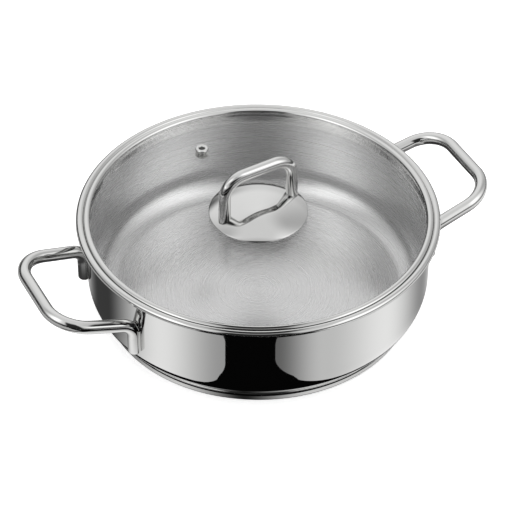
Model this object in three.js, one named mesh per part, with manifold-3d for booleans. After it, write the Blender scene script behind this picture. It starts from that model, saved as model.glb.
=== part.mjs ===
// Low stainless-steel cooking pot with two rod handles and a flat glass lid.
// Millimetres. The pot stands on z = 0, its axis is z and its handles lie along x.
import * as THREE from 'three';
import { mergeVertices } from 'three/addons/utils/BufferGeometryUtils.js';
import Module from 'manifold-3d';

const wasm = await Module();
wasm.setup();

// Clearances shared by the whole object.
const FIT_GAP = 0.3;
const WELD_GAP = 0.3;

// Pot shell: one drawn sheet with a flared lip whose edge is rolled over.
const POT_INNER_RADIUS = 140;
const POT_HEIGHT = 89.2;
const SHELL_THICKNESS = 1;
const FLOOR_CORNER_RADIUS = 27;
const FLARE_RADIUS = 7;
const FLARE_DEGREES = 55;
const ROLL_RADIUS = 2.2;
const ROLL_EDGE_DROP = 0.4;

// Sandwich base.
const CAP_THICKNESS = 0.6;
const CORE_THICKNESS = 4.4;
const CAP_INSET = 12.6;
const CAP_BOTTOM_ROUND = 1.5;
const CAP_SHOULDER = 2;
const CORE_FLAT_REACH = 3;

// Side handles, bent from round rod.
const HANDLE_ROD_RADIUS = 5.3;
const HANDLE_REACH = 54.4;
const HANDLE_ROOT_HALF_WIDTH = 50.2;
const HANDLE_BAR_HALF_WIDTH = 46.2;
const HANDLE_CORNER_RADIUS = 28;
const HANDLE_ROOT_DROP = 22.4;
const HANDLE_RISE = 16.2;
const TAB_LENGTH = 26.5;
const TAB_BEND_RADIUS = 13;
const TAB_OFFSET = 2.6;
const TAB_END_STEP = 0.2;
const TAB_END_BULGE = 0.5;

// Steel band round the lid glass: a round bead that lies in the lip, over a skirt.
const BAND_THICKNESS = 0.6;
const SKIRT_CLEARANCE = 1;
const SKIRT_DROP = 12.8;
const FLANGE_BEAD_RADIUS = 3.1;
const FLANGE_BEAD_INSET = 0.2;
const FLANGE_BEAD_RISE = 2;
const FLANGE_EDGE_DEGREES = 40;
const FLANGE_SLOPE = 2.6;
const GLASS_STOP = 1;

// Lid glass.
const GLASS_THICKNESS = 4;
const GLASS_EDGE_CHAMFER = 0.5;

// Turns about the pot axis, from the line of the handles.
const GRIP_TURN_DEGREES = 5.2;
const VENT_TURN_DEGREES = 3;

// Knob: dome plate, rod grip and the clamp through the glass.
const DOME_RADIUS = 40.5;
const DOME_RISE = 11;
const DOME_THICKNESS = 1;
const DOME_EDGE = 1;
const DOME_FLOAT = 2;
const GRIP_ROD_RADIUS = 5;
const GRIP_INSET = 8.6;
const GRIP_CORNER_RADIUS = 17;
const GRIP_BAR_RISE = 31.2;
const BOSS_RADIUS = 8;
const BOSS_ROOF = 2;
const SCREW_RADIUS = 3;
const SCREW_HEAD_RADIUS = 6;
const SCREW_HEAD_HEIGHT = 3.4;
const SCREW_TIP_ROOM = 1;
const GLASS_HOLE_MARGIN = 2;
const UPPER_GASKET_RADIUS = 15;
const UPPER_GASKET_THICKNESS = 1.8;
const LOWER_GASKET_RADIUS = 13;
const LOWER_GASKET_THICKNESS = 2;
const COLLAR_HEIGHT = 2.6;
const WASHER_RADIUS = 11;
const WASHER_THICKNESS = 1.2;
const SPRING_WASHER_RADIUS = 5.6;
const SPRING_WASHER_THICKNESS = 1.6;
const SPRING_WASHER_SPLIT = 1;
const RECESS_SPAN = 6.4;
const RECESS_WIDTH = 1.2;
const RECESS_DEPTH = 1.8;

// Steam vent.
const VENT_INSET = 42;
const VENT_BORE_RADIUS = 2.3;
const VENT_WALL = 1;
const VENT_HEAD_RADIUS = 5.6;
const VENT_HEAD_HEIGHT = 2.4;
const VENT_TAIL_RADIUS = 4.8;
const VENT_TAIL_THICKNESS = 0.8;
const VENT_WASHER_RADIUS = 5.6;
const VENT_WASHER_THICKNESS = 0.8;

// Facet counts.
const TURNED_SEGMENTS = 48;
const DOME_SEGMENTS = 40;
const SMALL_SEGMENTS = 24;
const ROD_HALF_SEGMENTS = 6;
const HANDLE_STEPS = 48;
const GRIP_STEPS = 32;
const CORNER_STEPS = 8;
const FLARE_STEPS = 3;
const ROLL_STEPS = 5;
const BEAD_STEPS = 6;
const DOME_STEPS = 7;
const CORE_STEPS = 4;
const SHOULDER_STEPS = 3;
const ROUND_STEPS = 2;

// Corners nearer to each other than this are one corner.
const SAME_CORNER = 1e-4;

// Pot positions that follow from the sizes.
const wallRadius = POT_INNER_RADIUS + SHELL_THICKNESS;
const floorUnderside = CAP_THICKNESS + CORE_THICKNESS;
const floorEdgeRadius = wallRadius - FLOOR_CORNER_RADIUS;
const cornerHeight = floorUnderside + FLOOR_CORNER_RADIUS;
const flareReach = FLARE_RADIUS + SHELL_THICKNESS;
const rollReach = ROLL_RADIUS + SHELL_THICKNESS;
const flareCentreRadius = wallRadius + FLARE_RADIUS;
const flareEnd = THREE.MathUtils.degToRad(FLARE_DEGREES);
const rollCentreRadius = flareCentreRadius - (FLARE_RADIUS - ROLL_RADIUS) * Math.cos(flareEnd);
const rollCentreHeight = POT_HEIGHT - rollReach;
const lipStart = rollCentreHeight - (FLARE_RADIUS - ROLL_RADIUS) * Math.sin(flareEnd);
const capRadius = wallRadius - CAP_INSET;

// Lid positions that follow from the lip.
const beadCentreRadius = POT_INNER_RADIUS - FLANGE_BEAD_INSET;
const beadEdge = THREE.MathUtils.degToRad(FLANGE_EDGE_DEGREES);
const flangeRadius = beadCentreRadius + FLANGE_BEAD_RADIUS * Math.cos(beadEdge);
const flangeBottom = lipSurfaceHeight(flangeRadius) + FIT_GAP;
const beadCentreHeight = flangeBottom + BAND_THICKNESS - FLANGE_BEAD_RADIUS * Math.sin(beadEdge);
const skirtRadius = POT_INNER_RADIUS - SKIRT_CLEARANCE;
const skirtInnerRadius = skirtRadius - BAND_THICKNESS;
const glassRadius = skirtInnerRadius - FIT_GAP;
const glassTop = beadCentreHeight + FLANGE_BEAD_RADIUS - FLANGE_BEAD_RISE;
const glassBottom = glassTop - GLASS_THICKNESS;
const skirtBottom = flangeBottom - SKIRT_DROP;
const ventRadius = glassRadius - VENT_INSET;
const ventBarrelRadius = VENT_BORE_RADIUS + VENT_WALL;

// Knob positions that follow from the glass.
const screwHoleRadius = SCREW_RADIUS + FIT_GAP;
const glassHoleRadius = SCREW_RADIUS + GLASS_HOLE_MARGIN;
const gasketTop = glassTop + UPPER_GASKET_THICKNESS;
const domeBottom = glassTop + DOME_FLOAT;
const domeRim = domeBottom + DOME_EDGE;
const domeApex = domeRim + DOME_RISE;
const domeSphere = (DOME_RADIUS ** 2 + DOME_RISE ** 2) / (2 * DOME_RISE);
const domeCentre = domeApex - domeSphere;
const bossSeatRadius = BOSS_RADIUS + FIT_GAP;
const bossTop = domeHeight(bossSeatRadius, -DOME_THICKNESS);
const bossHoleTop = bossTop - BOSS_ROOF;
const gripHalfSpan = DOME_RADIUS - GRIP_INSET;
const washerTop = glassBottom - LOWER_GASKET_THICKNESS;
const springWasherTop = washerTop - WASHER_THICKNESS;
const screwHeadTop = springWasherTop - SPRING_WASHER_THICKNESS;

// Height of the upper surface of the lip's flare at a radius.
function lipSurfaceHeight(radius) {
  return lipStart + Math.sqrt(flareReach ** 2 - (flareCentreRadius - radius) ** 2);
}

// Height of the rounded lower corner of the shell at a radius.
function cornerSurfaceHeight(radius) {
  return cornerHeight - Math.sqrt(FLOOR_CORNER_RADIUS ** 2 - (radius - floorEdgeRadius) ** 2);
}

// Height of the dome at a radius, moved out along its own normal by an offset.
function domeHeight(radius, offset) {
  return domeCentre + Math.sqrt((domeSphere + offset) ** 2 - radius ** 2);
}

function point(radius, height) {
  return new THREE.Vector2(radius, height);
}

// Points on an arc in the profile plane, both ends included.
function arc(centreRadius, centreHeight, radius, startDegrees, endDegrees, steps) {
  const points = [];
  for (let i = 0; i <= steps; i += 1) {
    const angle = THREE.MathUtils.degToRad(startDegrees + ((endDegrees - startDegrees) * i) / steps);
    points.push(point(centreRadius + radius * Math.cos(angle), centreHeight + radius * Math.sin(angle)));
  }
  return points;
}

// Turns a profile about the z axis.
function revolve(profile, segments) {
  const geometry = new THREE.LatheGeometry(profile, segments);
  geometry.rotateX(Math.PI / 2);
  return geometry;
}

// Turns a profile that closes on itself, such as a ring.
function revolveRing(profile, segments) {
  return revolve([...profile, profile[0].clone()], segments);
}

// Plain ring of rectangular section.
function ring(innerRadius, outerRadius, bottom, top, segments) {
  const section = [
    point(innerRadius, bottom),
    point(outerRadius, bottom),
    point(outerRadius, top),
    point(innerRadius, top),
  ];
  return revolveRing(section, segments);
}

// Welds a geometry into a closed solid for cutting and joining.
function toSolid(geometry) {
  const bare = geometry.clone();
  bare.deleteAttribute('normal');
  bare.deleteAttribute('uv');
  const welded = mergeVertices(bare, SAME_CORNER);
  const corners = welded.index.array;
  const triangles = [];
  for (let i = 0; i < corners.length; i += 3) {
    const [a, b, c] = [corners[i], corners[i + 1], corners[i + 2]];
    if (a !== b && b !== c && c !== a) {
      triangles.push(a, b, c);
    }
  }
  const mesh = new wasm.Mesh({
    numProp: 3,
    vertProperties: new Float32Array(welded.attributes.position.array),
    triVerts: new Uint32Array(triangles),
  });
  return new wasm.Manifold(mesh);
}

function toGeometry(solid) {
  const mesh = solid.getMesh();
  const geometry = new THREE.BufferGeometry();
  geometry.setAttribute('position', new THREE.BufferAttribute(new Float32Array(mesh.vertProperties), 3));
  geometry.setIndex(new THREE.BufferAttribute(new Uint32Array(mesh.triVerts), 1));
  return geometry;
}

// Path through corners, each inner corner rounded to its own radius by a cubic that follows the circle.
function roundedPath(corners, radii) {
  const path = new THREE.CurvePath();
  let from = corners[0];
  for (let i = 1; i < corners.length - 1; i += 1) {
    const back = corners[i - 1].clone().sub(corners[i]).normalize();
    const ahead = corners[i + 1].clone().sub(corners[i]).normalize();
    const turn = Math.PI - back.angleTo(ahead);
    const setback = radii[i - 1] * Math.tan(turn / 2);
    const pull = setback - (4 / 3) * Math.tan(turn / 4) * radii[i - 1];
    const start = corners[i].clone().addScaledVector(back, setback);
    const end = corners[i].clone().addScaledVector(ahead, setback);
    const pullStart = corners[i].clone().addScaledVector(back, pull);
    const pullEnd = corners[i].clone().addScaledVector(ahead, pull);
    path.add(new THREE.LineCurve3(from, start));
    path.add(new THREE.CubicBezierCurve3(start, pullStart, pullEnd, end));
    from = end;
  }
  path.add(new THREE.LineCurve3(from, corners[corners.length - 1]));
  return path;
}

// Round rod along a path.
function rod(path, radius, steps) {
  const section = new THREE.Shape();
  section.absarc(0, 0, radius, 0, Math.PI * 2, false);
  return new THREE.ExtrudeGeometry(section, {
    steps,
    curveSegments: ROD_HALF_SEGMENTS,
    extrudePath: path,
  });
}

function metal(colour, roughness) {
  return new THREE.MeshStandardMaterial({ color: colour, roughness, metalness: 1 });
}

function polishedSteel() {
  return metal('#d3d5d6', 0.07);
}

function satinSteel() {
  return metal('#c2c3c2', 0.3);
}

function aluminium() {
  return metal('#b9bcbe', 0.45);
}

function silicone() {
  return new THREE.MeshStandardMaterial({ color: '#3b3c3d', roughness: 0.7, metalness: 0 });
}

function clearGlass() {
  return new THREE.MeshStandardMaterial({
    color: '#e6ecea',
    roughness: 0.03,
    metalness: 0,
    transparent: true,
    opacity: 0.3,
  });
}

function named(name, geometry, material) {
  const mesh = new THREE.Mesh(geometry, material);
  mesh.name = name;
  return mesh;
}

function turned(geometry, degrees) {
  geometry.rotateZ(THREE.MathUtils.degToRad(degrees));
  return geometry;
}

// Drawn body: floor, rounded corner, straight wall, and the flared lip with its rolled edge.
function potShell() {
  const flareDegrees = 180 - FLARE_DEGREES;
  const edge = rollCentreHeight - ROLL_EDGE_DROP;
  const profile = [
    point(0, floorUnderside),
    ...arc(floorEdgeRadius, cornerHeight, FLOOR_CORNER_RADIUS, -90, 0, CORNER_STEPS),
    ...arc(flareCentreRadius, lipStart, FLARE_RADIUS, 180, flareDegrees, FLARE_STEPS),
    ...arc(rollCentreRadius, rollCentreHeight, ROLL_RADIUS, flareDegrees, 0, ROLL_STEPS).slice(1),
    point(rollCentreRadius + ROLL_RADIUS, edge),
    point(rollCentreRadius + rollReach, edge),
    ...arc(rollCentreRadius, rollCentreHeight, rollReach, 0, flareDegrees, ROLL_STEPS),
    ...arc(flareCentreRadius, lipStart, flareReach, flareDegrees, 180, FLARE_STEPS).slice(1),
    ...arc(floorEdgeRadius, cornerHeight, FLOOR_CORNER_RADIUS - SHELL_THICKNESS, 0, -90, CORNER_STEPS),
    point(0, floorUnderside + SHELL_THICKNESS),
  ];
  return named('pot_shell', revolve(profile, TURNED_SEGMENTS), polishedSteel());
}

// Aluminium disc; its edge follows the shell's rounded corner without touching it.
function baseCore() {
  const coreRadius = capRadius - CAP_THICKNESS - FIT_GAP;
  const shoulderStart = capShoulderStart() - FIT_GAP;
  const edge = CAP_BOTTOM_ROUND - CAP_THICKNESS;
  const flatEnd = floorEdgeRadius + CORE_FLAT_REACH;
  const curveEnd = capRadius - CAP_SHOULDER - CAP_BOTTOM_ROUND;
  const curve = [];
  for (let i = 0; i < CORE_STEPS; i += 1) {
    const radius = curveEnd + ((flatEnd - curveEnd) * i) / CORE_STEPS;
    curve.push(point(radius, cornerSurfaceHeight(radius) - FIT_GAP));
  }
  const profile = [
    point(0, CAP_THICKNESS),
    point(coreRadius - edge, CAP_THICKNESS),
    point(coreRadius, CAP_BOTTOM_ROUND),
    point(coreRadius, shoulderStart),
    ...curve.filter((corner) => corner.y > floorUnderside),
    point(flatEnd, floorUnderside),
    point(0, floorUnderside),
  ];
  return named('base_core', revolve(profile, TURNED_SEGMENTS), aluminium());
}

// Height at which the cap's straight side ends and its shoulder begins.
function capShoulderStart() {
  return cornerSurfaceHeight(capRadius - CAP_SHOULDER) - FIT_GAP - CAP_SHOULDER;
}

// Thin steel dish under the core with a rounded shoulder up to the shell.
function baseCap() {
  const shoulderRadius = capRadius - CAP_SHOULDER;
  const shoulderStart = capShoulderStart();
  const roundRadius = capRadius - CAP_BOTTOM_ROUND;
  const innerRound = CAP_BOTTOM_ROUND - CAP_THICKNESS;
  const profile = [
    point(0, 0),
    ...arc(roundRadius, CAP_BOTTOM_ROUND, CAP_BOTTOM_ROUND, -90, 0, ROUND_STEPS),
    ...arc(shoulderRadius, shoulderStart, CAP_SHOULDER, 0, 90, SHOULDER_STEPS),
    ...arc(shoulderRadius, shoulderStart, CAP_SHOULDER - CAP_THICKNESS, 90, 0, SHOULDER_STEPS),
    ...arc(roundRadius, CAP_BOTTOM_ROUND, innerRound, 0, -90, ROUND_STEPS),
    point(0, CAP_THICKNESS),
  ];
  return named('base_cap', revolve(profile, TURNED_SEGMENTS), polishedSteel());
}

// Corners of one handle's rod, from one welded tab round the grip bar to the other.
function handleCorners() {
  const tabX = Math.sqrt((wallRadius + TAB_OFFSET) ** 2 - HANDLE_ROOT_HALF_WIDTH ** 2);
  const barX = wallRadius + HANDLE_REACH;
  const rootZ = lipStart - HANDLE_ROOT_DROP;
  const tabZ = rootZ - TAB_LENGTH;
  const barZ = rootZ + HANDLE_RISE;
  return [
    new THREE.Vector3(tabX, -HANDLE_ROOT_HALF_WIDTH, tabZ),
    new THREE.Vector3(tabX, -HANDLE_ROOT_HALF_WIDTH, rootZ),
    new THREE.Vector3(barX, -HANDLE_BAR_HALF_WIDTH, barZ),
    new THREE.Vector3(barX, HANDLE_BAR_HALF_WIDTH, barZ),
    new THREE.Vector3(tabX, HANDLE_ROOT_HALF_WIDTH, rootZ),
    new THREE.Vector3(tabX, HANDLE_ROOT_HALF_WIDTH, tabZ),
  ];
}

// Rounded end of a tab, set in a step from the edge of the rod.
function tabEnd(corner) {
  const radius = HANDLE_ROD_RADIUS - TAB_END_STEP;
  const cap = new THREE.SphereGeometry(radius, ROD_HALF_SEGMENTS * 2, ROD_HALF_SEGMENTS);
  cap.rotateX(Math.PI / 2);
  cap.scale(1, 1, TAB_END_BULGE);
  cap.translate(corner.x, corner.y, corner.z);
  return toSolid(cap);
}

// Rod loop whose tabs are pressed flat against the wall.
function handle(name, turn) {
  const corners = handleCorners();
  const bends = [TAB_BEND_RADIUS, HANDLE_CORNER_RADIUS, HANDLE_CORNER_RADIUS, TAB_BEND_RADIUS];
  const loop = rod(roundedPath(corners, bends), HANDLE_ROD_RADIUS, HANDLE_STEPS);
  const wall = [
    point(0, 0),
    point(wallRadius + WELD_GAP, 0),
    point(wallRadius + WELD_GAP, lipStart),
    point(0, lipStart),
  ];
  const solid = toSolid(loop)
    .add(tabEnd(corners[0]))
    .add(tabEnd(corners.at(-1)))
    .subtract(toSolid(revolve(wall, TURNED_SEGMENTS)));
  const geometry = toGeometry(solid);
  geometry.rotateZ(turn);
  return named(name, geometry, polishedSteel());
}

// Flat glass disc with the knob hole and the vent hole.
function lidGlass() {
  const section = [
    point(glassHoleRadius, glassBottom),
    point(glassRadius - GLASS_EDGE_CHAMFER, glassBottom),
    point(glassRadius, glassBottom + GLASS_EDGE_CHAMFER),
    point(glassRadius, glassTop - GLASS_EDGE_CHAMFER),
    point(glassRadius - GLASS_EDGE_CHAMFER, glassTop),
    point(glassHoleRadius, glassTop),
  ];
  const holeRadius = ventBarrelRadius + FIT_GAP;
  const drill = new THREE.CylinderGeometry(holeRadius, holeRadius, GLASS_THICKNESS * 2, SMALL_SEGMENTS);
  drill.rotateX(Math.PI / 2);
  drill.translate(0, ventRadius, glassTop - GLASS_THICKNESS / 2);
  const disc = toSolid(revolveRing(section, TURNED_SEGMENTS));
  const solid = disc.subtract(toSolid(turned(drill, VENT_TURN_DEGREES)));
  return named('lid_glass', toGeometry(solid), clearGlass());
}

// Rolled band: a bead over the glass edge that lies in the lip, and a skirt inside the wall.
function lidRimBand() {
  const stopRadius = glassRadius - GLASS_STOP;
  const hem = BAND_THICKNESS / 2;
  const rise = (glassTop - beadCentreHeight) / FLANGE_BEAD_RADIUS;
  const footDegrees = 180 - THREE.MathUtils.radToDeg(Math.asin(rise));
  const bead = arc(
    beadCentreRadius,
    beadCentreHeight,
    FLANGE_BEAD_RADIUS,
    FLANGE_EDGE_DEGREES,
    footDegrees,
    BEAD_STEPS,
  );
  const section = [
    point(skirtInnerRadius, glassTop),
    point(skirtInnerRadius, glassBottom),
    point(stopRadius, glassBottom),
    point(stopRadius, glassBottom - hem),
    point(skirtInnerRadius, glassBottom - hem - GLASS_STOP),
    ...arc(skirtInnerRadius + hem, skirtBottom + hem, hem, 180, 360, ROUND_STEPS),
    point(skirtRadius, flangeBottom - FLANGE_SLOPE),
    point(flangeRadius, flangeBottom),
    ...bead,
  ];
  return named('lid_rim_band', revolveRing(section, TURNED_SEGMENTS), polishedSteel());
}

function placeAtVent(geometry) {
  geometry.translate(0, ventRadius, 0);
  return turned(geometry, VENT_TURN_DEGREES);
}

// Vent tube: rolled head on the glass, tail clinched under its washer.
function ventEyelet() {
  const tailTop = glassBottom - VENT_WASHER_THICKNESS;
  const headRound = VENT_HEAD_HEIGHT / 2;
  const crown = glassTop + headRound;
  const section = [
    point(VENT_BORE_RADIUS, tailTop - VENT_TAIL_THICKNESS),
    point(VENT_TAIL_RADIUS, tailTop - VENT_TAIL_THICKNESS),
    point(VENT_TAIL_RADIUS, tailTop),
    point(ventBarrelRadius, tailTop),
    point(ventBarrelRadius, glassTop),
    ...arc(VENT_HEAD_RADIUS - headRound, crown, headRound, -90, 90, SHOULDER_STEPS * 2),
    ...arc(VENT_BORE_RADIUS + headRound, crown, headRound, 90, 180, SHOULDER_STEPS),
  ];
  return named('vent_eyelet', placeAtVent(revolveRing(section, SMALL_SEGMENTS)), polishedSteel());
}

function ventWasher() {
  const bottom = glassBottom - VENT_WASHER_THICKNESS;
  const holeRadius = ventBarrelRadius + FIT_GAP;
  const geometry = ring(holeRadius, VENT_WASHER_RADIUS, bottom, glassBottom, SMALL_SEGMENTS);
  return named('vent_washer', placeAtVent(geometry), satinSteel());
}

// Outer line of the dome from its rim to the axis, moved out by an offset.
function domeLine(offset) {
  const radius = domeSphere + offset;
  const rimDegrees = THREE.MathUtils.radToDeg(Math.acos(DOME_RADIUS / domeSphere));
  return arc(0, domeCentre, radius, rimDegrees, 90, DOME_STEPS);
}

// Pressed dome plate with a flat seat for the bush under its middle.
function knobDome() {
  const innerSphere = domeSphere - DOME_THICKNESS;
  const innerRim = DOME_RADIUS - DOME_THICKNESS;
  const innerRimDegrees = THREE.MathUtils.radToDeg(Math.acos(innerRim / innerSphere));
  const seatDegrees = THREE.MathUtils.radToDeg(Math.acos(bossSeatRadius / innerSphere));
  const profile = [
    point(0, bossTop),
    ...arc(0, domeCentre, innerSphere, seatDegrees, innerRimDegrees, DOME_STEPS - 1),
    point(innerRim, domeBottom),
    point(DOME_RADIUS, domeBottom),
    ...domeLine(0),
  ];
  return named('knob_dome', revolve(profile, DOME_SEGMENTS), polishedSteel());
}

// Rod grip; its feet are cut to the dome.
function knobArch() {
  const footZ = domeHeight(gripHalfSpan + GRIP_ROD_RADIUS, 0) - DOME_THICKNESS;
  const barZ = domeApex + GRIP_BAR_RISE;
  const corners = [
    new THREE.Vector3(-gripHalfSpan, 0, footZ),
    new THREE.Vector3(-gripHalfSpan, 0, barZ),
    new THREE.Vector3(gripHalfSpan, 0, barZ),
    new THREE.Vector3(gripHalfSpan, 0, footZ),
  ];
  const path = roundedPath(corners, [GRIP_CORNER_RADIUS, GRIP_CORNER_RADIUS]);
  const dome = domeLine(WELD_GAP);
  const below = footZ - DOME_RADIUS;
  const filled = [point(0, below), point(dome[0].x, below), ...dome];
  const grip = toSolid(turned(rod(path, GRIP_ROD_RADIUS, GRIP_STEPS), GRIP_TURN_DEGREES));
  const solid = grip.subtract(toSolid(revolve(filled, DOME_SEGMENTS)));
  return named('knob_arch', toGeometry(solid), polishedSteel());
}

// Threaded bush under the dome.
function knobBoss() {
  const profile = [
    point(0, bossHoleTop),
    point(screwHoleRadius, bossHoleTop),
    point(screwHoleRadius, gasketTop),
    point(BOSS_RADIUS, gasketTop),
    point(BOSS_RADIUS, bossTop),
    point(0, bossTop),
  ];
  return named('knob_boss', revolve(profile, SMALL_SEGMENTS), satinSteel());
}

function knobGasketUpper() {
  const geometry = ring(glassHoleRadius, UPPER_GASKET_RADIUS, glassTop, gasketTop, SMALL_SEGMENTS);
  return named('knob_gasket_upper', geometry, silicone());
}

// Washer with a collar that keeps the screw off the glass.
function knobGasketLower() {
  const collarRadius = glassHoleRadius - FIT_GAP;
  const section = [
    point(screwHoleRadius, washerTop),
    point(LOWER_GASKET_RADIUS, washerTop),
    point(LOWER_GASKET_RADIUS, glassBottom),
    point(collarRadius, glassBottom),
    point(collarRadius, glassBottom + COLLAR_HEIGHT),
    point(screwHoleRadius, glassBottom + COLLAR_HEIGHT),
  ];
  return named('knob_gasket_lower', revolveRing(section, SMALL_SEGMENTS), silicone());
}

function knobWasher() {
  const geometry = ring(screwHoleRadius, WASHER_RADIUS, springWasherTop, washerTop, SMALL_SEGMENTS);
  return named('knob_washer', geometry, satinSteel());
}

// Spring washer, split on one side.
function knobSpringWasher() {
  const body = ring(screwHoleRadius, SPRING_WASHER_RADIUS, screwHeadTop, springWasherTop, SMALL_SEGMENTS);
  const saw = new THREE.BoxGeometry(SPRING_WASHER_RADIUS, SPRING_WASHER_SPLIT, SPRING_WASHER_THICKNESS * 2);
  const middle = (springWasherTop + screwHeadTop) / 2;
  saw.translate((SPRING_WASHER_RADIUS + SCREW_RADIUS) / 2, 0, middle);
  const solid = toSolid(body).subtract(toSolid(saw));
  return named('knob_spring_washer', toGeometry(solid), satinSteel());
}

// Pan-head screw with a cross recess, driven up into the bush.
function knobScrew() {
  const headBottom = screwHeadTop - SCREW_HEAD_HEIGHT;
  const tip = bossHoleTop - SCREW_TIP_ROOM;
  const headRound = SCREW_HEAD_HEIGHT / 2;
  const profile = [
    point(0, headBottom),
    ...arc(SCREW_HEAD_RADIUS - headRound, headBottom + headRound, headRound, -90, 0, SHOULDER_STEPS),
    point(SCREW_HEAD_RADIUS, screwHeadTop),
    point(SCREW_RADIUS, screwHeadTop),
    point(SCREW_RADIUS, tip - SCREW_TIP_ROOM),
    point(SCREW_RADIUS - SCREW_TIP_ROOM, tip),
    point(0, tip),
  ];
  const along = new THREE.BoxGeometry(RECESS_SPAN, RECESS_WIDTH, RECESS_DEPTH * 2);
  along.translate(0, 0, headBottom);
  const across = new THREE.BoxGeometry(RECESS_WIDTH, RECESS_SPAN, RECESS_DEPTH * 2);
  across.translate(0, 0, headBottom);
  const blank = toSolid(revolve(profile, SMALL_SEGMENTS));
  const solid = blank.subtract(toSolid(along)).subtract(toSolid(across));
  return named('knob_screw', toGeometry(solid), satinSteel());
}

function cookingPot() {
  const pot = new THREE.Group();
  pot.name = 'cooking_pot_with_lid';
  pot.add(
    potShell(),
    baseCore(),
    baseCap(),
    handle('handle_right', 0),
    handle('handle_left', Math.PI),
    lidGlass(),
    lidRimBand(),
    ventEyelet(),
    ventWasher(),
    knobDome(),
    knobArch(),
    knobBoss(),
    knobGasketUpper(),
    knobGasketLower(),
    knobWasher(),
    knobSpringWasher(),
    knobScrew(),
  );
  return pot;
}

export default cookingPot();
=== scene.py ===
"""Low stainless-steel cooking pot with a flat glass lid, dressed for its studio picture.

Every length in the classes is in millimetres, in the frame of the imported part:
z is the pot's axis, z = 0 the surface it stands on, and the handles lie along x.
"""

import logging
import math
from dataclasses import dataclass
from enum import Enum
from typing import Callable, Optional, Sequence, Union

import bmesh
import bpy
from mathutils import Matrix, Vector


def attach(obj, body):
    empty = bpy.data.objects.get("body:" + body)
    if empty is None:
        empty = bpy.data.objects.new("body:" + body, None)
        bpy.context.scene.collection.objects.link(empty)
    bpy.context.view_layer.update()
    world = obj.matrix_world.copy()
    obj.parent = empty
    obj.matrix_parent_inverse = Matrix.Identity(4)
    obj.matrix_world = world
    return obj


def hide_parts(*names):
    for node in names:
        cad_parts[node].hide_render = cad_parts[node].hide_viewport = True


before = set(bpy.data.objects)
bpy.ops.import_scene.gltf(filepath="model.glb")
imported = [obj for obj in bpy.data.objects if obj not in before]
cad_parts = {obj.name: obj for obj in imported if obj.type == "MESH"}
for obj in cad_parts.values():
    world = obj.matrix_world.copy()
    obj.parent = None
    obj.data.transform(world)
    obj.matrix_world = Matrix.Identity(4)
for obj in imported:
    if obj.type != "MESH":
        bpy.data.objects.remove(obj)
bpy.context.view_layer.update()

MM = 0.001
# Corners nearer to each other than this are one.
MERGE = 0.0005 * MM
LOG = logging.getLogger("cooking_pot")

Colour = tuple[float, float, float, float]
Pair = tuple[float, float]


class Body(Enum):
    """The two bodies that pieces ride on."""

    POT = "pot"
    LID = "lid"


class Seen(Enum):
    """Which rays a thing of the studio is shown to."""

    BY_CAMERA = "camera"
    IN_REFLECTIONS = "reflections"


def linear(code: str) -> Colour:
    """Turns an sRGB hex colour into linear light.

    Args:
        code: Colour such as "#d0d0d0".

    Returns:
        Red, green, blue and an alpha of 1.
    """
    channels = [int(code[i : i + 2], 16) / 255 for i in (1, 3, 5)]
    light = [c / 12.92 if c <= 0.04045 else ((c + 0.055) / 1.055) ** 2.4 for c in channels]
    return (light[0], light[1], light[2], 1.0)


def add_node(
    tree: bpy.types.NodeTree,
    kind: str,
    inputs: Optional[dict] = None,
    stops: Sequence[Pair] = (),
    **settings: object,
) -> bpy.types.Node:
    """Adds a node, sets it and links it.

    Args:
        tree: Node tree that gets the node.
        kind: Type name of the node.
        inputs: Values or sockets for the node's inputs, by name or number.
        stops: Places and grey levels of a soft ramp, where the node has one.
        **settings: Properties of the node itself.

    Returns:
        The new node.
    """
    node = tree.nodes.new(kind)
    for name, value in settings.items():
        setattr(node, name, value)
    if stops:
        node.color_ramp.interpolation = "EASE"
    for i, (position, level) in enumerate(stops):
        stop = node.color_ramp.elements[i] if i < 2 else node.color_ramp.elements.new(1.0)
        stop.position = position
        stop.color = (level, level, level, 1.0)
    for key, value in (inputs or {}).items():
        if isinstance(value, bpy.types.NodeSocket):
            tree.links.new(value, node.inputs[key])
        else:
            node.inputs[key].default_value = value
    return node


@dataclass(frozen=True)
class Finish:
    """A surface as it left the workshop.

    Attributes:
        name: Name of the material.
        colour: Its colour as sRGB hex.
        roughness: Roughness of the plain surface.
    """

    name: str
    colour: str
    roughness: float

    def material(self) -> bpy.types.Material:
        """Makes the finish as a node material, once.

        Returns:
            The material.
        """
        made = bpy.data.materials.get(self.name)
        if made is None:
            made = bpy.data.materials.new(self.name)
            made.use_nodes = True
            tree = made.node_tree
            shader = tree.nodes["Principled BSDF"]
            shader.inputs["Base Color"].default_value = linear(self.colour)
            shader.inputs["Roughness"].default_value = self.roughness
            place = add_node(tree, "ShaderNodeTexCoord").outputs["Object"]
            self.dress(tree, shader, place)
        return made

    def dress(self, tree: bpy.types.NodeTree, shader: bpy.types.Node, place: bpy.types.NodeSocket) -> None:
        """Adds what this kind of surface shows.

        Args:
            tree: The material's node tree.
            shader: Its Principled shader.
            place: Object coordinates, in metres.
        """
        raise NotImplementedError


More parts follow.
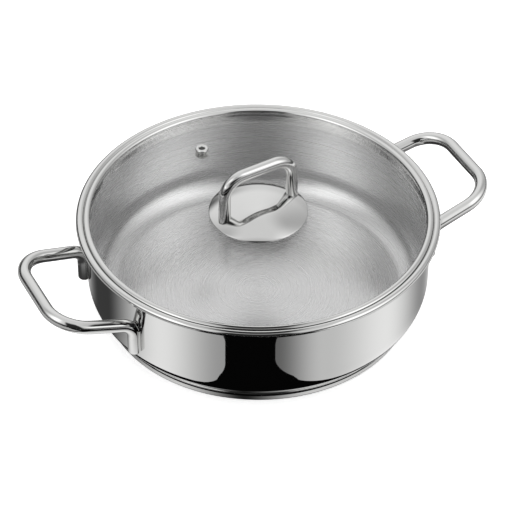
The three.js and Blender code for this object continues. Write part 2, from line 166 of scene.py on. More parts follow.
@dataclass(frozen=True)
class BuffedSteel(Finish):
    """Stainless steel buffed on a cloth wheel: a mirror with faint clouds and wheel marks.

    Attributes:
        cloud_mm: Size of the clouds that the wheel leaves in the gloss.
        mark_mm: Width of a wheel mark, drawn coarser than the real 0.05 mm so that it shows.
        mark_squeeze: Factor on the marks' pattern round the axis, so that they run that way.
        haze: How much rougher a cloud is than the bright surface.
        wave: Height in millimetres of the waviness that bends reflections a little.
    """

    cloud_mm: float = 9.0
    mark_mm: float = 0.5
    mark_squeeze: float = 0.12
    haze: float = 0.03
    wave: float = 0.002

    def dress(self, tree: bpy.types.NodeTree, shader: bpy.types.Node, place: bpy.types.NodeSocket) -> None:
        """Adds clouds and wheel marks to the gloss, and a trace of waviness.

        Args:
            tree: The material's node tree.
            shader: Its Principled shader.
            place: Object coordinates, in metres.
        """
        shader.inputs["Metallic"].default_value = 1.0
        clouds = add_node(
            tree, "ShaderNodeTexNoise", {"Vector": place, "Scale": 1 / (self.cloud_mm * MM), "Detail": 3.0}
        )
        squeeze = (self.mark_squeeze, self.mark_squeeze, 1.0)
        flat = add_node(tree, "ShaderNodeMapping", {"Vector": place, "Scale": squeeze})
        marks = add_node(
            tree,
            "ShaderNodeTexNoise",
            {"Vector": flat.outputs["Vector"], "Scale": 1 / (self.mark_mm * MM), "Detail": 1.0},
        )
        mixed = add_node(
            tree, "ShaderNodeMath", {0: clouds.outputs["Fac"], 1: marks.outputs["Fac"]}, operation="MULTIPLY"
        )
        gloss = add_node(
            tree,
            "ShaderNodeMapRange",
            {
                "Value": mixed.outputs[0],
                "From Min": 0.1,
                "From Max": 0.45,
                "To Min": self.roughness,
                "To Max": self.roughness + self.haze,
            },
        )
        tree.links.new(gloss.outputs["Result"], shader.inputs["Roughness"])
        bump = add_node(
            tree,
            "ShaderNodeBump",
            {"Height": clouds.outputs["Fac"], "Distance": self.wave * MM, "Strength": 0.5},
        )
        tree.links.new(bump.outputs["Normal"], shader.inputs["Normal"])


@dataclass(frozen=True)
class TurnedSteel(Finish):
    """Stainless steel brushed while it spins: satin, with fine rings about the axis.

    Light stretches across the rings, so a fan of light shows on a flat floor.

    Attributes:
        ring_mm: Spacing of the rings, drawn coarser than the real 0.2 mm so that they show.
        ring_depth: Depth of a ring in millimetres.
        ring_gloss: How much rougher or smoother than the rest a ring is.
        stretch: How far light is stretched across the rings.
        shade: The darker colour of the deeper rings, as sRGB hex.
    """

    ring_mm: float = 1.5
    ring_depth: float = 0.004
    ring_gloss: float = 0.05
    stretch: float = 0.7
    shade: str = "#a8a8a6"

    def dress(self, tree: bpy.types.NodeTree, shader: bpy.types.Node, place: bpy.types.NodeSocket) -> None:
        """Adds the rings to colour, gloss and bump, and turns the stretch along them.

        Args:
            tree: The material's node tree.
            shader: Its Principled shader.
            place: Object coordinates, in metres.
        """
        shader.inputs["Metallic"].default_value = 1.0
        shader.inputs["Anisotropic"].default_value = self.stretch
        shader.inputs["Anisotropic Rotation"].default_value = 0.25
        along = add_node(
            tree, "ShaderNodeVectorMath", {0: (0.0, 0.0, 1.0), 1: place}, operation="CROSS_PRODUCT"
        )
        tangent = add_node(tree, "ShaderNodeVectorMath", {0: along.outputs[0]}, operation="NORMALIZE")
        tree.links.new(tangent.outputs[0], shader.inputs["Tangent"])
        radius = add_node(tree, "ShaderNodeVectorMath", {0: along.outputs[0]}, operation="LENGTH")
        parts = add_node(tree, "ShaderNodeSeparateXYZ", {0: place})
        climb = add_node(
            tree, "ShaderNodeMath", {0: radius.outputs["Value"], 1: parts.outputs["Z"]}, operation="ADD"
        )
        rings = add_node(
            tree,
            "ShaderNodeTexNoise",
            {"W": climb.outputs[0], "Scale": 1 / (self.ring_mm * MM), "Detail": 4.0, "Roughness": 0.7},
            noise_dimensions="1D",
        )
        tint = add_node(
            tree,
            "ShaderNodeMix",
            {0: rings.outputs["Fac"], 6: linear(self.shade), 7: linear(self.colour)},
            data_type="RGBA",
        )
        tree.links.new(tint.outputs[2], shader.inputs["Base Color"])
        gloss = add_node(
            tree,
            "ShaderNodeMapRange",
            {
                "Value": rings.outputs["Fac"],
                "From Min": 0.25,
                "From Max": 0.75,
                "To Min": self.roughness + self.ring_gloss,
                "To Max": self.roughness - self.ring_gloss,
            },
        )
        tree.links.new(gloss.outputs["Result"], shader.inputs["Roughness"])
        bump = add_node(
            tree,
            "ShaderNodeBump",
            {"Height": rings.outputs["Fac"], "Distance": self.ring_depth * MM, "Strength": 0.4},
        )
        tree.links.new(bump.outputs["Normal"], shader.inputs["Normal"])


@dataclass(frozen=True)
class TemperedGlass(Finish):
    """Clear tempered soda-lime glass, float-flat, that lets the studio light through.

    Attributes:
        index: Refractive index.
        ripple: Height in millimetres of the slight roller wave of tempered glass.
        ripple_mm: Length of that wave.
    """

    index: float = 1.5
    ripple: float = 0.004
    ripple_mm: float = 60.0

    def dress(self, tree: bpy.types.NodeTree, shader: bpy.types.Node, place: bpy.types.NodeSocket) -> None:
        """Makes the glass a pane that mirrors by its angle and passes the rest of the light straight.

        Args:
            tree: The material's node tree.
            shader: Its Principled shader.
            place: Object coordinates, in metres.
        """
        tree.nodes.remove(shader)
        wave = add_node(tree, "ShaderNodeTexNoise", {"Vector": place, "Scale": 1 / (self.ripple_mm * MM)})
        bump = add_node(
            tree,
            "ShaderNodeBump",
            {"Height": wave.outputs["Fac"], "Distance": self.ripple * MM, "Strength": 0.3},
        )
        # The Fresnel node turns the index over on a back face. Turned over here too, it stays air to glass.
        face = add_node(tree, "ShaderNodeNewGeometry")
        index = add_node(
            tree,
            "ShaderNodeMapRange",
            {"Value": face.outputs["Backfacing"], "To Min": self.index, "To Max": 1 / self.index},
        )
        glance = add_node(
            tree, "ShaderNodeFresnel", {"IOR": index.outputs["Result"], "Normal": bump.outputs["Normal"]}
        )
        clear = add_node(tree, "ShaderNodeBsdfTransparent", {"Color": linear(self.colour)})
        gleam = add_node(
            tree, "ShaderNodeBsdfAnisotropic", {"Roughness": self.roughness, "Normal": bump.outputs["Normal"]}
        )
        pane = add_node(
            tree, "ShaderNodeMixShader", {0: glance.outputs[0], 1: clear.outputs[0], 2: gleam.outputs[0]}
        )
        tree.links.new(pane.outputs[0], tree.nodes["Material Output"].inputs["Surface"])


@dataclass(frozen=True)
class MouldedSilicone(Finish):
    """Compression-moulded silicone rubber: matt, with a fine dusty grain.

    Attributes:
        index: Refractive index.
        grain_mm: Size of the grain.
        grain_depth: Depth of the grain in millimetres.
    """

    index: float = 1.41
    grain_mm: float = 0.4
    grain_depth: float = 0.02

    def dress(self, tree: bpy.types.NodeTree, shader: bpy.types.Node, place: bpy.types.NodeSocket) -> None:
        """Adds the moulded grain.

        Args:
            tree: The material's node tree.
            shader: Its Principled shader.
            place: Object coordinates, in metres.
        """
        shader.inputs["IOR"].default_value = self.index
        grain = add_node(
            tree, "ShaderNodeTexNoise", {"Vector": place, "Scale": 1 / (self.grain_mm * MM), "Detail": 2.0}
        )
        bump = add_node(
            tree,
            "ShaderNodeBump",
            {"Height": grain.outputs["Fac"], "Distance": self.grain_depth * MM, "Strength": 0.4},
        )
        tree.links.new(bump.outputs["Normal"], shader.inputs["Normal"])


class Finishes:
    """The finishes of this pot."""

    MIRROR = BuffedSteel("buffed_stainless_steel", "#d8d8d7", 0.025)
    GRIP = BuffedSteel("buffed_steel_rod", "#d8d8d7", 0.035, cloud_mm=6.0)
    INSIDE = TurnedSteel(
        "satin_turned_steel",
        "#e0e0e0",
        0.26,
        ring_depth=0.0017,
        ring_gloss=0.035,
        stretch=0.45,
        shade="#d6d6d6",
    )
    UNDERSIDE = TurnedSteel("turned_base_steel", "#c4c4c2", 0.3, ring_mm=1.2)
    FIXING = TurnedSteel("plain_turned_steel", "#bfbfbd", 0.3, ring_mm=0.6)
    GLASS = TemperedGlass("tempered_clear_glass", "#fdfdfd", 0.0)
    RUBBER = MouldedSilicone("grey_silicone", "#3b3c3d", 0.6)
    CORE = BuffedSteel("rolled_aluminium", "#b9bcbe", 0.42)


class Turning:
    """A profile drawn in the plane of the axis, then turned about it."""

    def __init__(self, radius: float, height: float) -> None:
        """Starts the profile.

        Args:
            radius: Distance of the first point from the axis.
            height: Its height.
        """
        self.mesh = bmesh.new()
        self.tip = self.mesh.verts.new((radius * MM, 0.0, height * MM))
        self.first = self.tip

    def line(self, radius: float, height: float, steps: int = 1) -> "Turning":
        """Draws a straight line.

        Args:
            radius: Where the line ends, from the axis.
            height: Where the line ends, in height.
            steps: Number of equal pieces.

        Returns:
            The profile itself.
        """
        start = self.tip.co.copy()
        end = Vector((radius * MM, 0.0, height * MM))
        for i in range(steps):
            grown = bmesh.ops.extrude_vert_indiv(self.mesh, verts=[self.tip])
            self.tip = grown["verts"][0]
            self.tip.co = start.lerp(end, (i + 1) / steps)
        return self

    def arc(self, radius: float, height: float, degrees: float, steps: int) -> "Turning":
        """Swings on round a centre.

        Args:
            radius: Distance of the centre from the axis.
            height: Height of the centre.
            degrees: Angle to swing through, positive from outward to upward.
            steps: Number of equal pieces.

        Returns:
            The profile itself.
        """
        swung = bmesh.ops.spin(
            self.mesh,
            geom=[self.tip],
            cent=(radius * MM, 0.0, height * MM),
            axis=(0.0, -1.0, 0.0),
            angle=math.radians(degrees),
            steps=steps,
        )
        self.tip = [part for part in swung["geom_last"] if isinstance(part, bmesh.types.BMVert)][0]
        return self

    def close(self) -> "Turning":
        """Draws back to the first point, for a ring."""
        return self.line(self.first.co.x / MM, self.first.co.z / MM)

    def turn(self, segments: int) -> bmesh.types.BMesh:
        """Turns the profile once round the axis.

        Args:
            segments: Number of facets round the axis.

        Returns:
            The closed mesh, with faces pointing outwards.
        """
        bmesh.ops.spin(
            self.mesh,
            geom=self.mesh.verts[:] + self.mesh.edges[:],
            cent=(0.0, 0.0, 0.0),
            axis=(0.0, 0.0, 1.0),
            angle=math.tau,
            steps=segments,
            use_merge=True,
        )
        return closed(self.mesh)


class BentRod:
    """Round rod that is pushed forward and bent, as on a bending bench."""

    def __init__(self, start: Vector, along: Vector, radius: float, sides: int) -> None:
        """Holds the rod's first end.

        Args:
            start: Middle of the first end.
            along: Direction in which the rod sets off.
            radius: Radius of the rod.
            sides: Facets round the rod.
        """
        self.mesh = bmesh.new()
        self.radius = radius
        self.tip = start.copy()
        self.along = along.normalized()
        turn = Vector((0.0, 0.0, 1.0)).rotation_difference(self.along).to_matrix().to_4x4()
        place = Matrix.Translation(start * MM) @ turn
        bmesh.ops.create_circle(self.mesh, segments=sides, radius=radius * MM, matrix=place)
        self.front = self.mesh.edges[:]
        self.back = self.mesh.edges[:]
        self.start = start.copy()
        self.start_along = self.along.copy()

    def straight(self, length: float, steps: int) -> "BentRod":
        """Pushes the rod straight on.

        Args:
            length: How far.
            steps: Number of equal pieces.

        Returns:
            The rod itself.
        """
        for _ in range(steps):
            self.front = self.push(self.front, self.along * (length / steps), 1.0)
        self.tip = self.tip + self.along * length
        return self

    def push(
        self,
        loop: list[bmesh.types.BMEdge],
        step: Vector,
        swell: float,
        middle: Optional[Vector] = None,
    ) -> list[bmesh.types.BMEdge]:
        """Extrudes one end loop.

        Args:
            loop: Edges of the loop.
            step: How far it moves.
            swell: Factor on its size.
            middle: Middle of the loop, needed where it changes size.

        Returns:
            The edges of the new loop.
        """
        grown = bmesh.ops.extrude_edge_only(self.mesh, edges=loop)["geom"]
        corners = [part for part in grown if isinstance(part, bmesh.types.BMVert)]
        if middle is not None:
            space = Matrix.Translation(-middle * MM)
            bmesh.ops.scale(self.mesh, verts=corners, vec=(swell, swell, swell), space=space)
        bmesh.ops.translate(self.mesh, verts=corners, vec=step * MM)
        inside = set(corners)
        return [
            part
            for part in grown
            if isinstance(part, bmesh.types.BMEdge) and part.verts[0] in inside and part.verts[1] in inside
        ]

    def bend(self, towards: Vector, radius: float, steps: int) -> "BentRod":
        """Bends the rod until it points another way.

        Args:
            towards: Direction after the bend.
            radius: Radius of the bend at the rod's middle.
            steps: Number of equal pieces.

        Returns:
            The rod itself.
        """
        axis = self.along.cross(towards).normalized()
        angle = self.along.angle(towards)
        centre = self.tip + axis.cross(self.along) * radius
        corners = list({corner for edge in self.front for corner in edge.verts})
        swung = bmesh.ops.spin(
            self.mesh,
            geom=corners + self.front,
            cent=centre * MM,
            axis=axis,
            angle=angle,
            steps=steps,
        )
        self.front = [part for part in swung["geom_last"] if isinstance(part, bmesh.types.BMEdge)]
        turn = Matrix.Rotation(angle, 3, axis)
        self.tip = centre + turn @ (self.tip - centre)
        self.along = (turn @ self.along).normalized()
        return self

    def follow(self, corners: Sequence[Vector], radii: Sequence[float], step_mm: float) -> "BentRod":
        """Follows a path of straight runs with a bend at each inner corner.

        Args:
            corners: The path's corners, the first at the rod's start.
            radii: Bend radius at each inner corner.
            step_mm: Length of a facet along the rod.

        Returns:
            The rod itself.
        """
        for i, radius in enumerate(radii, start=1):
            ahead = (corners[i + 1] - corners[i]).normalized()
            angle = self.along.angle(ahead)
            run = (corners[i] - self.tip).length - radius * math.tan(angle / 2)
            self.straight(run, max(1, round(run / step_mm)))
            self.bend(ahead, radius, max(4, round(radius * angle / step_mm)))
        run = (corners[-1] - self.tip).length
        return self.straight(run, max(1, round(run / step_mm)))

    def round_ends(self, bulge: float, steps: int) -> "BentRod":
        """Closes both ends with a low dome.

        Args:
            bulge: Height of the dome.
            steps: Rings in each dome.

        Returns:
            The rod itself.
        """
        self.front = self.dome(self.front, self.tip, self.along, bulge, steps)
        self.back = self.dome(self.back, self.start, -self.start_along, bulge, steps)
        return self

    def dome(
        self, loop: list[bmesh.types.BMEdge], middle: Vector, out: Vector, bulge: float, steps: int
    ) -> list[bmesh.types.BMEdge]:
        """Closes one end.

        Args:
            loop: Edges of the end loop.
            middle: Middle of the end.
            out: Direction out of the end.
            bulge: Height of the dome.
            steps: Rings in the dome.

        Returns:
            An empty list, since no open edge is left.
        """
        size = 1.0
        height = 0.0
        for i in range(1, steps):
            angle = math.pi / 2 * i / steps
            rise = bulge * math.sin(angle)
            loop = self.push(loop, out * (rise - height), math.cos(angle) / size, middle + out * height)
            size = math.cos(angle)
            height = rise
        tip = (middle + out * bulge) * MM
        loop = self.push(loop, Vector(), 1.0)
        corners = list({corner for edge in loop for corner in edge.verts})
        bmesh.ops.pointmerge(self.mesh, verts=corners, merge_co=tip)
        return []

    def shape(self) -> bmesh.types.BMesh:
        """Returns the rod's mesh, with faces pointing outwards."""
        return closed(self.mesh)


def closed(mesh: bmesh.types.BMesh) -> bmesh.types.BMesh:
    """Merges doubled corners and points the faces outwards.

    Args:
        mesh: Mesh to clean.

    Returns:
        The same mesh.
    """
    bmesh.ops.remove_doubles(mesh, verts=mesh.verts[:], dist=MERGE)
    bmesh.ops.recalc_face_normals(mesh, faces=mesh.faces[:])
    return mesh


@dataclass
class SubAssembly:
    """A group of pieces that are made and fitted together.

    Attributes:
        body: Body that the pieces ride on.
    """

    body: Body

    def build(self) -> list[bpy.types.Object]:
        """Makes every piece of the group and returns them."""
        raise NotImplementedError

    def piece(
        self,
        node: str,
        mesh: bmesh.types.BMesh,
        slot: str,
        finishes: Sequence[Finish],
        second: Optional[Callable[[Vector], bool]] = None,
        crisp: float = 40.0,
    ) -> bpy.types.Object:
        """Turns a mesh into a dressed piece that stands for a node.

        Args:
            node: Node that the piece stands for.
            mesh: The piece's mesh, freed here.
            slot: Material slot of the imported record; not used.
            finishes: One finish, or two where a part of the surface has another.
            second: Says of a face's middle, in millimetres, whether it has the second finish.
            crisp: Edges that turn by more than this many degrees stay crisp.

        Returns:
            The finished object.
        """
        for face in mesh.faces:
            face.smooth = True
            if second is not None and second(face.calc_center_median() / MM):
                face.material_index = 1
        data = bpy.data.meshes.new(f"{node}_look")
        mesh.to_mesh(data)
        mesh.free()
        data.set_sharp_from_angle(angle=math.radians(crisp))
        for finish in finishes:
            data.materials.append(finish.material())
        made = bpy.data.objects.new(f"{node}_look", data)
        bpy.context.scene.collection.objects.link(made)
        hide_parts(node)
        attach(made, self.body.value)
        return made

    def keep(self, node: str, finish: Finish) -> bpy.types.Object:
        """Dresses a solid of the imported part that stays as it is.

        Args:
            node: Name of the node.
            finish: Finish that it gets.

        Returns:
            The node's object.
        """
        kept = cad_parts[node]
        kept.data.materials.clear()
        kept.data.materials.append(finish.material())
        return kept


@dataclass
class PotBody(SubAssembly):
    """Drawn shell with a flared, rolled lip, on a sandwich base.

    Attributes:
        wall_radius: Outer radius of the wall.
        thickness: Sheet thickness of the shell.
        floor_underside: Height of the floor's underside.
        corner_radius: Outer radius of the corner between floor and wall.
        lip_start: Height at which the wall turns out into the lip.
        flare_radius: Radius of the underside of the lip's flare.
        flare_degrees: Angle that the flare turns through.
        roll_radius: Radius of the underside of the rolled edge.
        roll_drop: Length of the roll's last straight bit.
        cap_radius: Outer radius of the base cap.
        cap_thickness: Sheet thickness of the cap.
        cap_round: Radius of the cap's lower edge.
        cap_shoulder: Radius of the cap's upper edge.
        cap_gap: Gap between the cap's shoulder and the shell.
        segments: Facets round the pot.
    """

    body: Body = Body.POT
    wall_radius: float = 141.0
    thickness: float = 1.0
    floor_underside: float = 5.0
    corner_radius: float = 27.0
    lip_start: float = 82.068
    flare_radius: float = 7.0
    flare_degrees: float = 55.0
    roll_radius: float = 2.19
    roll_drop: float = 0.1
    cap_radius: float = 128.4
    cap_thickness: float = 0.6
    cap_round: float = 1.5
    cap_shoulder: float = 2.0
    cap_gap: float = 0.12
    segments: int = 192

    def build(self) -> list[bpy.types.Object]:
        """Makes the shell and the base cap, and dresses the hidden core."""
        return [self.shell(), self.cap(), self.keep("base_core", Finishes.CORE)]

    def shell(self) -> bpy.types.Object:
        """Makes the drawn shell, mirror outside and satin inside.

        Returns:
            The shell.
        """
        inner = self.wall_radius - self.thickness
        floor_edge = self.wall_radius - self.corner_radius
        corner_height = self.floor_underside + self.corner_radius
        half = self.thickness / 2
        flare_centre = self.wall_radius + self.flare_radius
        flare_end = math.radians(self.flare_degrees)
        roll_centre = flare_centre - (self.flare_radius - self.roll_radius) * math.cos(flare_end)
        roll_height = self.lip_start + (self.flare_radius - self.roll_radius) * math.sin(flare_end)
        roll_degrees = 180.0 - self.flare_degrees
        edge = roll_centre + self.roll_radius
        profile = Turning(0.0, self.floor_underside)
        profile.line(floor_edge, self.floor_underside, 12)
        profile.arc(floor_edge, corner_height, 90.0, 30)
        profile.line(self.wall_radius, self.lip_start, 14)
        profile.arc(flare_centre, self.lip_start, -self.flare_degrees, 12)
        profile.arc(roll_centre, roll_height, -roll_degrees, 20)
        profile.line(edge, roll_height - self.roll_drop)
        profile.arc(edge + half, roll_height - self.roll_drop, 180.0, 10)
        profile.line(edge + self.thickness, roll_height)
        profile.arc(roll_centre, roll_height, roll_degrees, 32)
        profile.arc(flare_centre, self.lip_start, self.flare_degrees, 16)
        profile.line(inner, corner_height, 14)
        profile.arc(floor_edge, corner_height, -90.0, 30)
        profile.line(0.0, self.floor_underside + self.thickness, 24)
        half_way = self.wall_radius - half

        def inside(middle_of_face: Vector) -> bool:
            """Says whether a face belongs to the satin inside.

            Args:
                middle_of_face: Middle of the face, in millimetres.

            Returns:
                True for a face of the inside.
            """
            radius = middle_of_face.xy.length
            height = middle_of_face.z
            if height > self.lip_start or radius > half_way:
                return False
            if height > corner_height:
                return True
            reach = Vector((max(0.0, radius - floor_edge), corner_height - height)).length
            return reach < self.corner_radius - half

        return self.piece(
            "pot_shell",
            profile.turn(self.segments),
            "pot_steel",
            [Finishes.MIRROR, Finishes.INSIDE],
            inside,
        )

    def cap(self) -> bpy.types.Object:
        """Makes the thin steel dish under the base.

        Returns:
            The cap.
        """
        shoulder = self.cap_radius - self.cap_shoulder
        floor_edge = self.wall_radius - self.corner_radius
        drop = math.sqrt(self.corner_radius**2 - (shoulder - floor_edge) ** 2)
        seat = self.floor_underside + self.corner_radius - drop
        shoulder_start = seat - self.cap_gap - self.cap_shoulder
        rounded = self.cap_radius - self.cap_round
        sheet = self.cap_thickness
        profile = Turning(0.0, 0.0)
        profile.line(rounded, 0.0, 40)
        profile.arc(rounded, self.cap_round, 90.0, 8)
        profile.line(self.cap_radius, shoulder_start, 4)
        profile.arc(shoulder, shoulder_start, 90.0, 10)
        profile.line(shoulder, shoulder_start + self.cap_shoulder - sheet)
        profile.arc(shoulder, shoulder_start, -90.0, 6)
        profile.line(self.cap_radius - sheet, self.cap_round)
        profile.arc(rounded, self.cap_round, -90.0, 4)
        profile.line(0.0, sheet)

        def under(middle_of_face: Vector) -> bool:
            """Says whether a face belongs to the turned underside."""
            return middle_of_face.z < 0.01

        return self.piece(
            "base_cap",
            profile.turn(self.segments),
            "base_steel",
            [Finishes.MIRROR, Finishes.UNDERSIDE],
            under,
        )


@dataclass
class SideHandle(SubAssembly):
    """One rod handle whose tabs are pressed flat against the wall.

    Attributes:
        node: Node of this handle.
        side: 1 for the handle at +x, -1 for the other.
        rod_radius: Radius of the rod.
        wall_radius: Outer radius of the wall it is welded to.
        weld_gap: Gap left for the weld.
        tab_offset: How far the tab's middle lies off the wall.
        reach: How far the bar's middle lies off the wall.
        root_half: Half the distance between the tabs.
        bar_half: Half the length of the bar, corner to corner.
        root_height: Height at which an arm leaves its tab.
        bar_height: Height of the bar.
        tab_length: Length of a tab below its arm.
        tab_bend: Bend radius between tab and arm.
        corner_radius: Bend radius between arm and bar.
        end_bulge: Height of the rounded end of a tab.
        sides: Facets round the rod.
        step: Length of a facet along the rod.
    """

    node: str = "handle_right"
    side: int = 1
    body: Body = Body.POT
    rod_radius: float = 5.3
    wall_radius: float = PotBody.wall_radius
    weld_gap: float = 0.05
    tab_offset: float = 2.6
    reach: float = 54.22
    root_half: float = 50.2
    bar_half: float = 46.2
    root_height: float = 59.67
    bar_height: float = 75.87
    tab_length: float = 26.5
    tab_bend: float = 13.0
    corner_radius: float = 28.0
    end_bulge: float = 2.6
    sides: int = 40
    step: float = 1.6

    def build(self) -> list[bpy.types.Object]:
        """Bends the rod and presses its tabs on to the wall.

        Returns:
            The handle, alone in a list.
        """
        off_wall = self.wall_radius + self.tab_offset
        tab_x = math.sqrt(off_wall**2 - self.root_half**2)
        bar_x = self.wall_radius + self.reach
        foot = self.root_height - self.tab_length
        corners = [
            Vector((tab_x, -self.root_half, foot)),
            Vector((tab_x, -self.root_half, self.root_height)),
            Vector((bar_x, -self.bar_half, self.bar_height)),
            Vector((bar_x, self.bar_half, self.bar_height)),
            Vector((tab_x, self.root_half, self.root_height)),
            Vector((tab_x, self.root_half, foot)),
        ]
        radii = [self.tab_bend, self.corner_radius, self.corner_radius, self.tab_bend]
        rod = BentRod(corners[0], Vector((0.0, 0.0, 1.0)), self.rod_radius, self.sides)
        rod.follow(corners, radii, self.step).round_ends(self.end_bulge, 8)
        mesh = rod.shape()
        self.press(mesh)
        if self.side < 0:
            half_turn = Matrix.Rotation(math.pi, 3, "Z")
            bmesh.ops.rotate(mesh, verts=mesh.verts[:], cent=(0.0, 0.0, 0.0), matrix=half_turn)
        return [self.piece(self.node, mesh, "handle_steel", [Finishes.GRIP])]

    def press(self, mesh: bmesh.types.BMesh) -> None:
        """Presses the rod on to the wall where it would reach into it.

        Args:
            mesh: The rod's mesh.
        """
        wall = (self.wall_radius + self.weld_gap) * MM
        for corner in mesh.verts:
            distance = corner.co.xy.length
            if distance < wall:
                corner.co.xy = corner.co.xy * (wall / distance)


@dataclass
class LidPane(SubAssembly):
    """Flat glass disc in its rolled steel band, with the steam vent.

    Attributes:
        glass_radius: Radius of the glass.
        glass_top: Height of its upper face.
        glass_thickness: Thickness of the glass.
        glass_edge: Size of the ground edge.
        knob_hole: Radius of the hole for the knob screw.
        vent_radius: Distance of the vent from the axis.
        vent_degrees: Direction of the vent, from +x.
        vent_hole: Radius of the vent's hole in the glass.
        skirt_outer: Outer radius of the band's skirt.
        skirt_inner: Inner radius of the skirt.
        skirt_bottom: Height of the skirt's lower edge.
        bead_middle: Distance of the round bead's middle from the axis.
        bead_height: Height of the bead's middle.
        bead_radius: Radius of the bead, which lies in the lip.
        bead_edge: Angle at which the bead ends outside, up from level.
        edge_round: Radius of its outer edge.
        slope_start: Height at which the skirt turns out under the bead.
        glass_seat: Width of the seat under the glass's edge, and the fall of its underside.
        vent_bore: Radius of the vent's bore.
        vent_barrel: Radius of its tube in the glass.
        vent_head: Radius of its rolled head.
        vent_roll: Radius of the roll on that head.
        vent_tail: Radius of its clinched tail.
        vent_ring: Radius of the washer under the glass.
        vent_sheet: Thickness of the tail and of the washer.
        vent_ease: Radius of the lower edges of both.
        vent_segments: Facets round the vent.
        hole_segments: Facets round the holes for the knob and the vent.
        segments: Facets round the lid.
    """

    body: Body = Body.LID
    glass_radius: float = 138.1
    glass_top: float = 87.559
    glass_thickness: float = 4.0
    glass_edge: float = 0.5
    knob_hole: float = 5.0
    vent_radius: float = 96.1
    vent_degrees: float = 93.0
    vent_hole: float = 3.6
    skirt_outer: float = 139.0
    skirt_inner: float = 138.4
    skirt_bottom: float = 75.051
    bead_middle: float = 139.8
    bead_height: float = 86.459
    bead_radius: float = 3.1
    bead_edge: float = 40.0
    edge_round: float = 0.3
    slope_start: float = 85.25
    glass_seat: float = 1.0
    vent_bore: float = 2.3
    vent_barrel: float = 3.3
    vent_head: float = 5.6
    vent_roll: float = 1.2
    vent_tail: float = 4.8
    vent_ring: float = 5.6
    vent_sheet: float = 0.8
    vent_ease: float = 0.2
    vent_segments: int = 48
    hole_segments: tuple[int, int] = (48, 32)
    segments: int = 192

    def build(self) -> list[bpy.types.Object]:
        """Makes the glass, the band and both pieces of the vent."""
        return [self.glass(), self.band(), self.eyelet(), self.vent_washer()]

    def vent_place(self) -> Vector:
        """Returns the middle of the vent, in metres."""
        angle = math.radians(self.vent_degrees)
        return Vector((math.cos(angle), math.sin(angle), 0.0)) * (self.vent_radius * MM)

    def glass(self) -> bpy.types.Object:
        """Makes the disc with its two holes and a ground edge.

        Returns:
            The glass.
        """
        mesh = bmesh.new()
        bottom = Vector((0.0, 0.0, (self.glass_top - self.glass_thickness) * MM))
        circles = [
            (bottom, self.glass_radius, self.segments),
            (bottom, self.knob_hole, self.hole_segments[0]),
            (bottom + self.vent_place(), self.vent_hole, self.hole_segments[1]),
        ]
        for place, radius, segments in circles:
            bmesh.ops.create_circle(
                mesh, segments=segments, radius=radius * MM, matrix=Matrix.Translation(place)
            )
        bmesh.ops.triangle_fill(mesh, use_beauty=True, edges=mesh.edges[:])
        grown = bmesh.ops.extrude_face_region(mesh, geom=mesh.faces[:], use_keep_orig=True)["geom"]
        top = [part for part in grown if isinstance(part, bmesh.types.BMVert)]
        bmesh.ops.translate(mesh, verts=top, vec=(0.0, 0.0, self.glass_thickness * MM))
        closed(mesh)
        # Only the square edges, of the rim and of both holes, are ground.
        rim = [edge for edge in mesh.edges if len(edge.link_faces) == 2 and edge.calc_face_angle() > 1.0]
        bmesh.ops.bevel(
            mesh,
            geom=rim,
            offset=self.glass_edge * MM,
            offset_type="OFFSET",
            affect="EDGES",
            segments=3,
            profile=0.5,
            material=-1,
        )
        return self.piece("lid_glass", mesh, "lid_glass", [Finishes.GLASS], crisp=10.0)

    def band(self) -> bpy.types.Object:
        """Makes the rolled band with its round bead and hemmed skirt.

        Returns:
            The band.
        """
        sheet = self.skirt_outer - self.skirt_inner
        bottom = self.glass_top - self.glass_thickness
        stop = self.glass_radius - self.glass_seat
        foot = math.degrees(math.asin((self.glass_top - self.bead_height) / self.bead_radius))
        reach = self.bead_radius - self.edge_round
        edge = math.radians(self.bead_edge)
        edge_way = Vector((math.cos(edge), math.sin(edge)))
        edge_middle = Vector((self.bead_middle, self.bead_height)) + reach * edge_way
        slope = edge_middle - Vector((self.skirt_outer, self.slope_start))
        lean = math.atan2(slope.y, slope.x) - math.asin(self.edge_round / slope.length)
        under = edge_middle + self.edge_round * Vector((math.sin(lean), -math.cos(lean)))
        profile = Turning(self.skirt_inner, self.glass_top)
        profile.line(self.skirt_inner, bottom)
        profile.line(stop, bottom)
        profile.line(stop, bottom - sheet / 2)
        profile.line(self.skirt_inner, bottom - sheet / 2 - self.glass_seat)
        profile.line(self.skirt_inner, self.skirt_bottom + 2 * sheet, 4)
        profile.arc(self.skirt_inner, self.skirt_bottom + sheet, 270.0, 18)
        profile.line(self.skirt_outer, self.slope_start, 4)
        profile.line(under.x, under.y, 3)
        profile.arc(edge_middle.x, edge_middle.y, self.bead_edge + 90.0 - math.degrees(lean), 6)
        profile.arc(self.bead_middle, self.bead_height, 180.0 - foot - self.bead_edge, 32)
        profile.close()
        return self.piece("lid_rim_band", profile.turn(self.segments), "rim_steel", [Finishes.MIRROR])

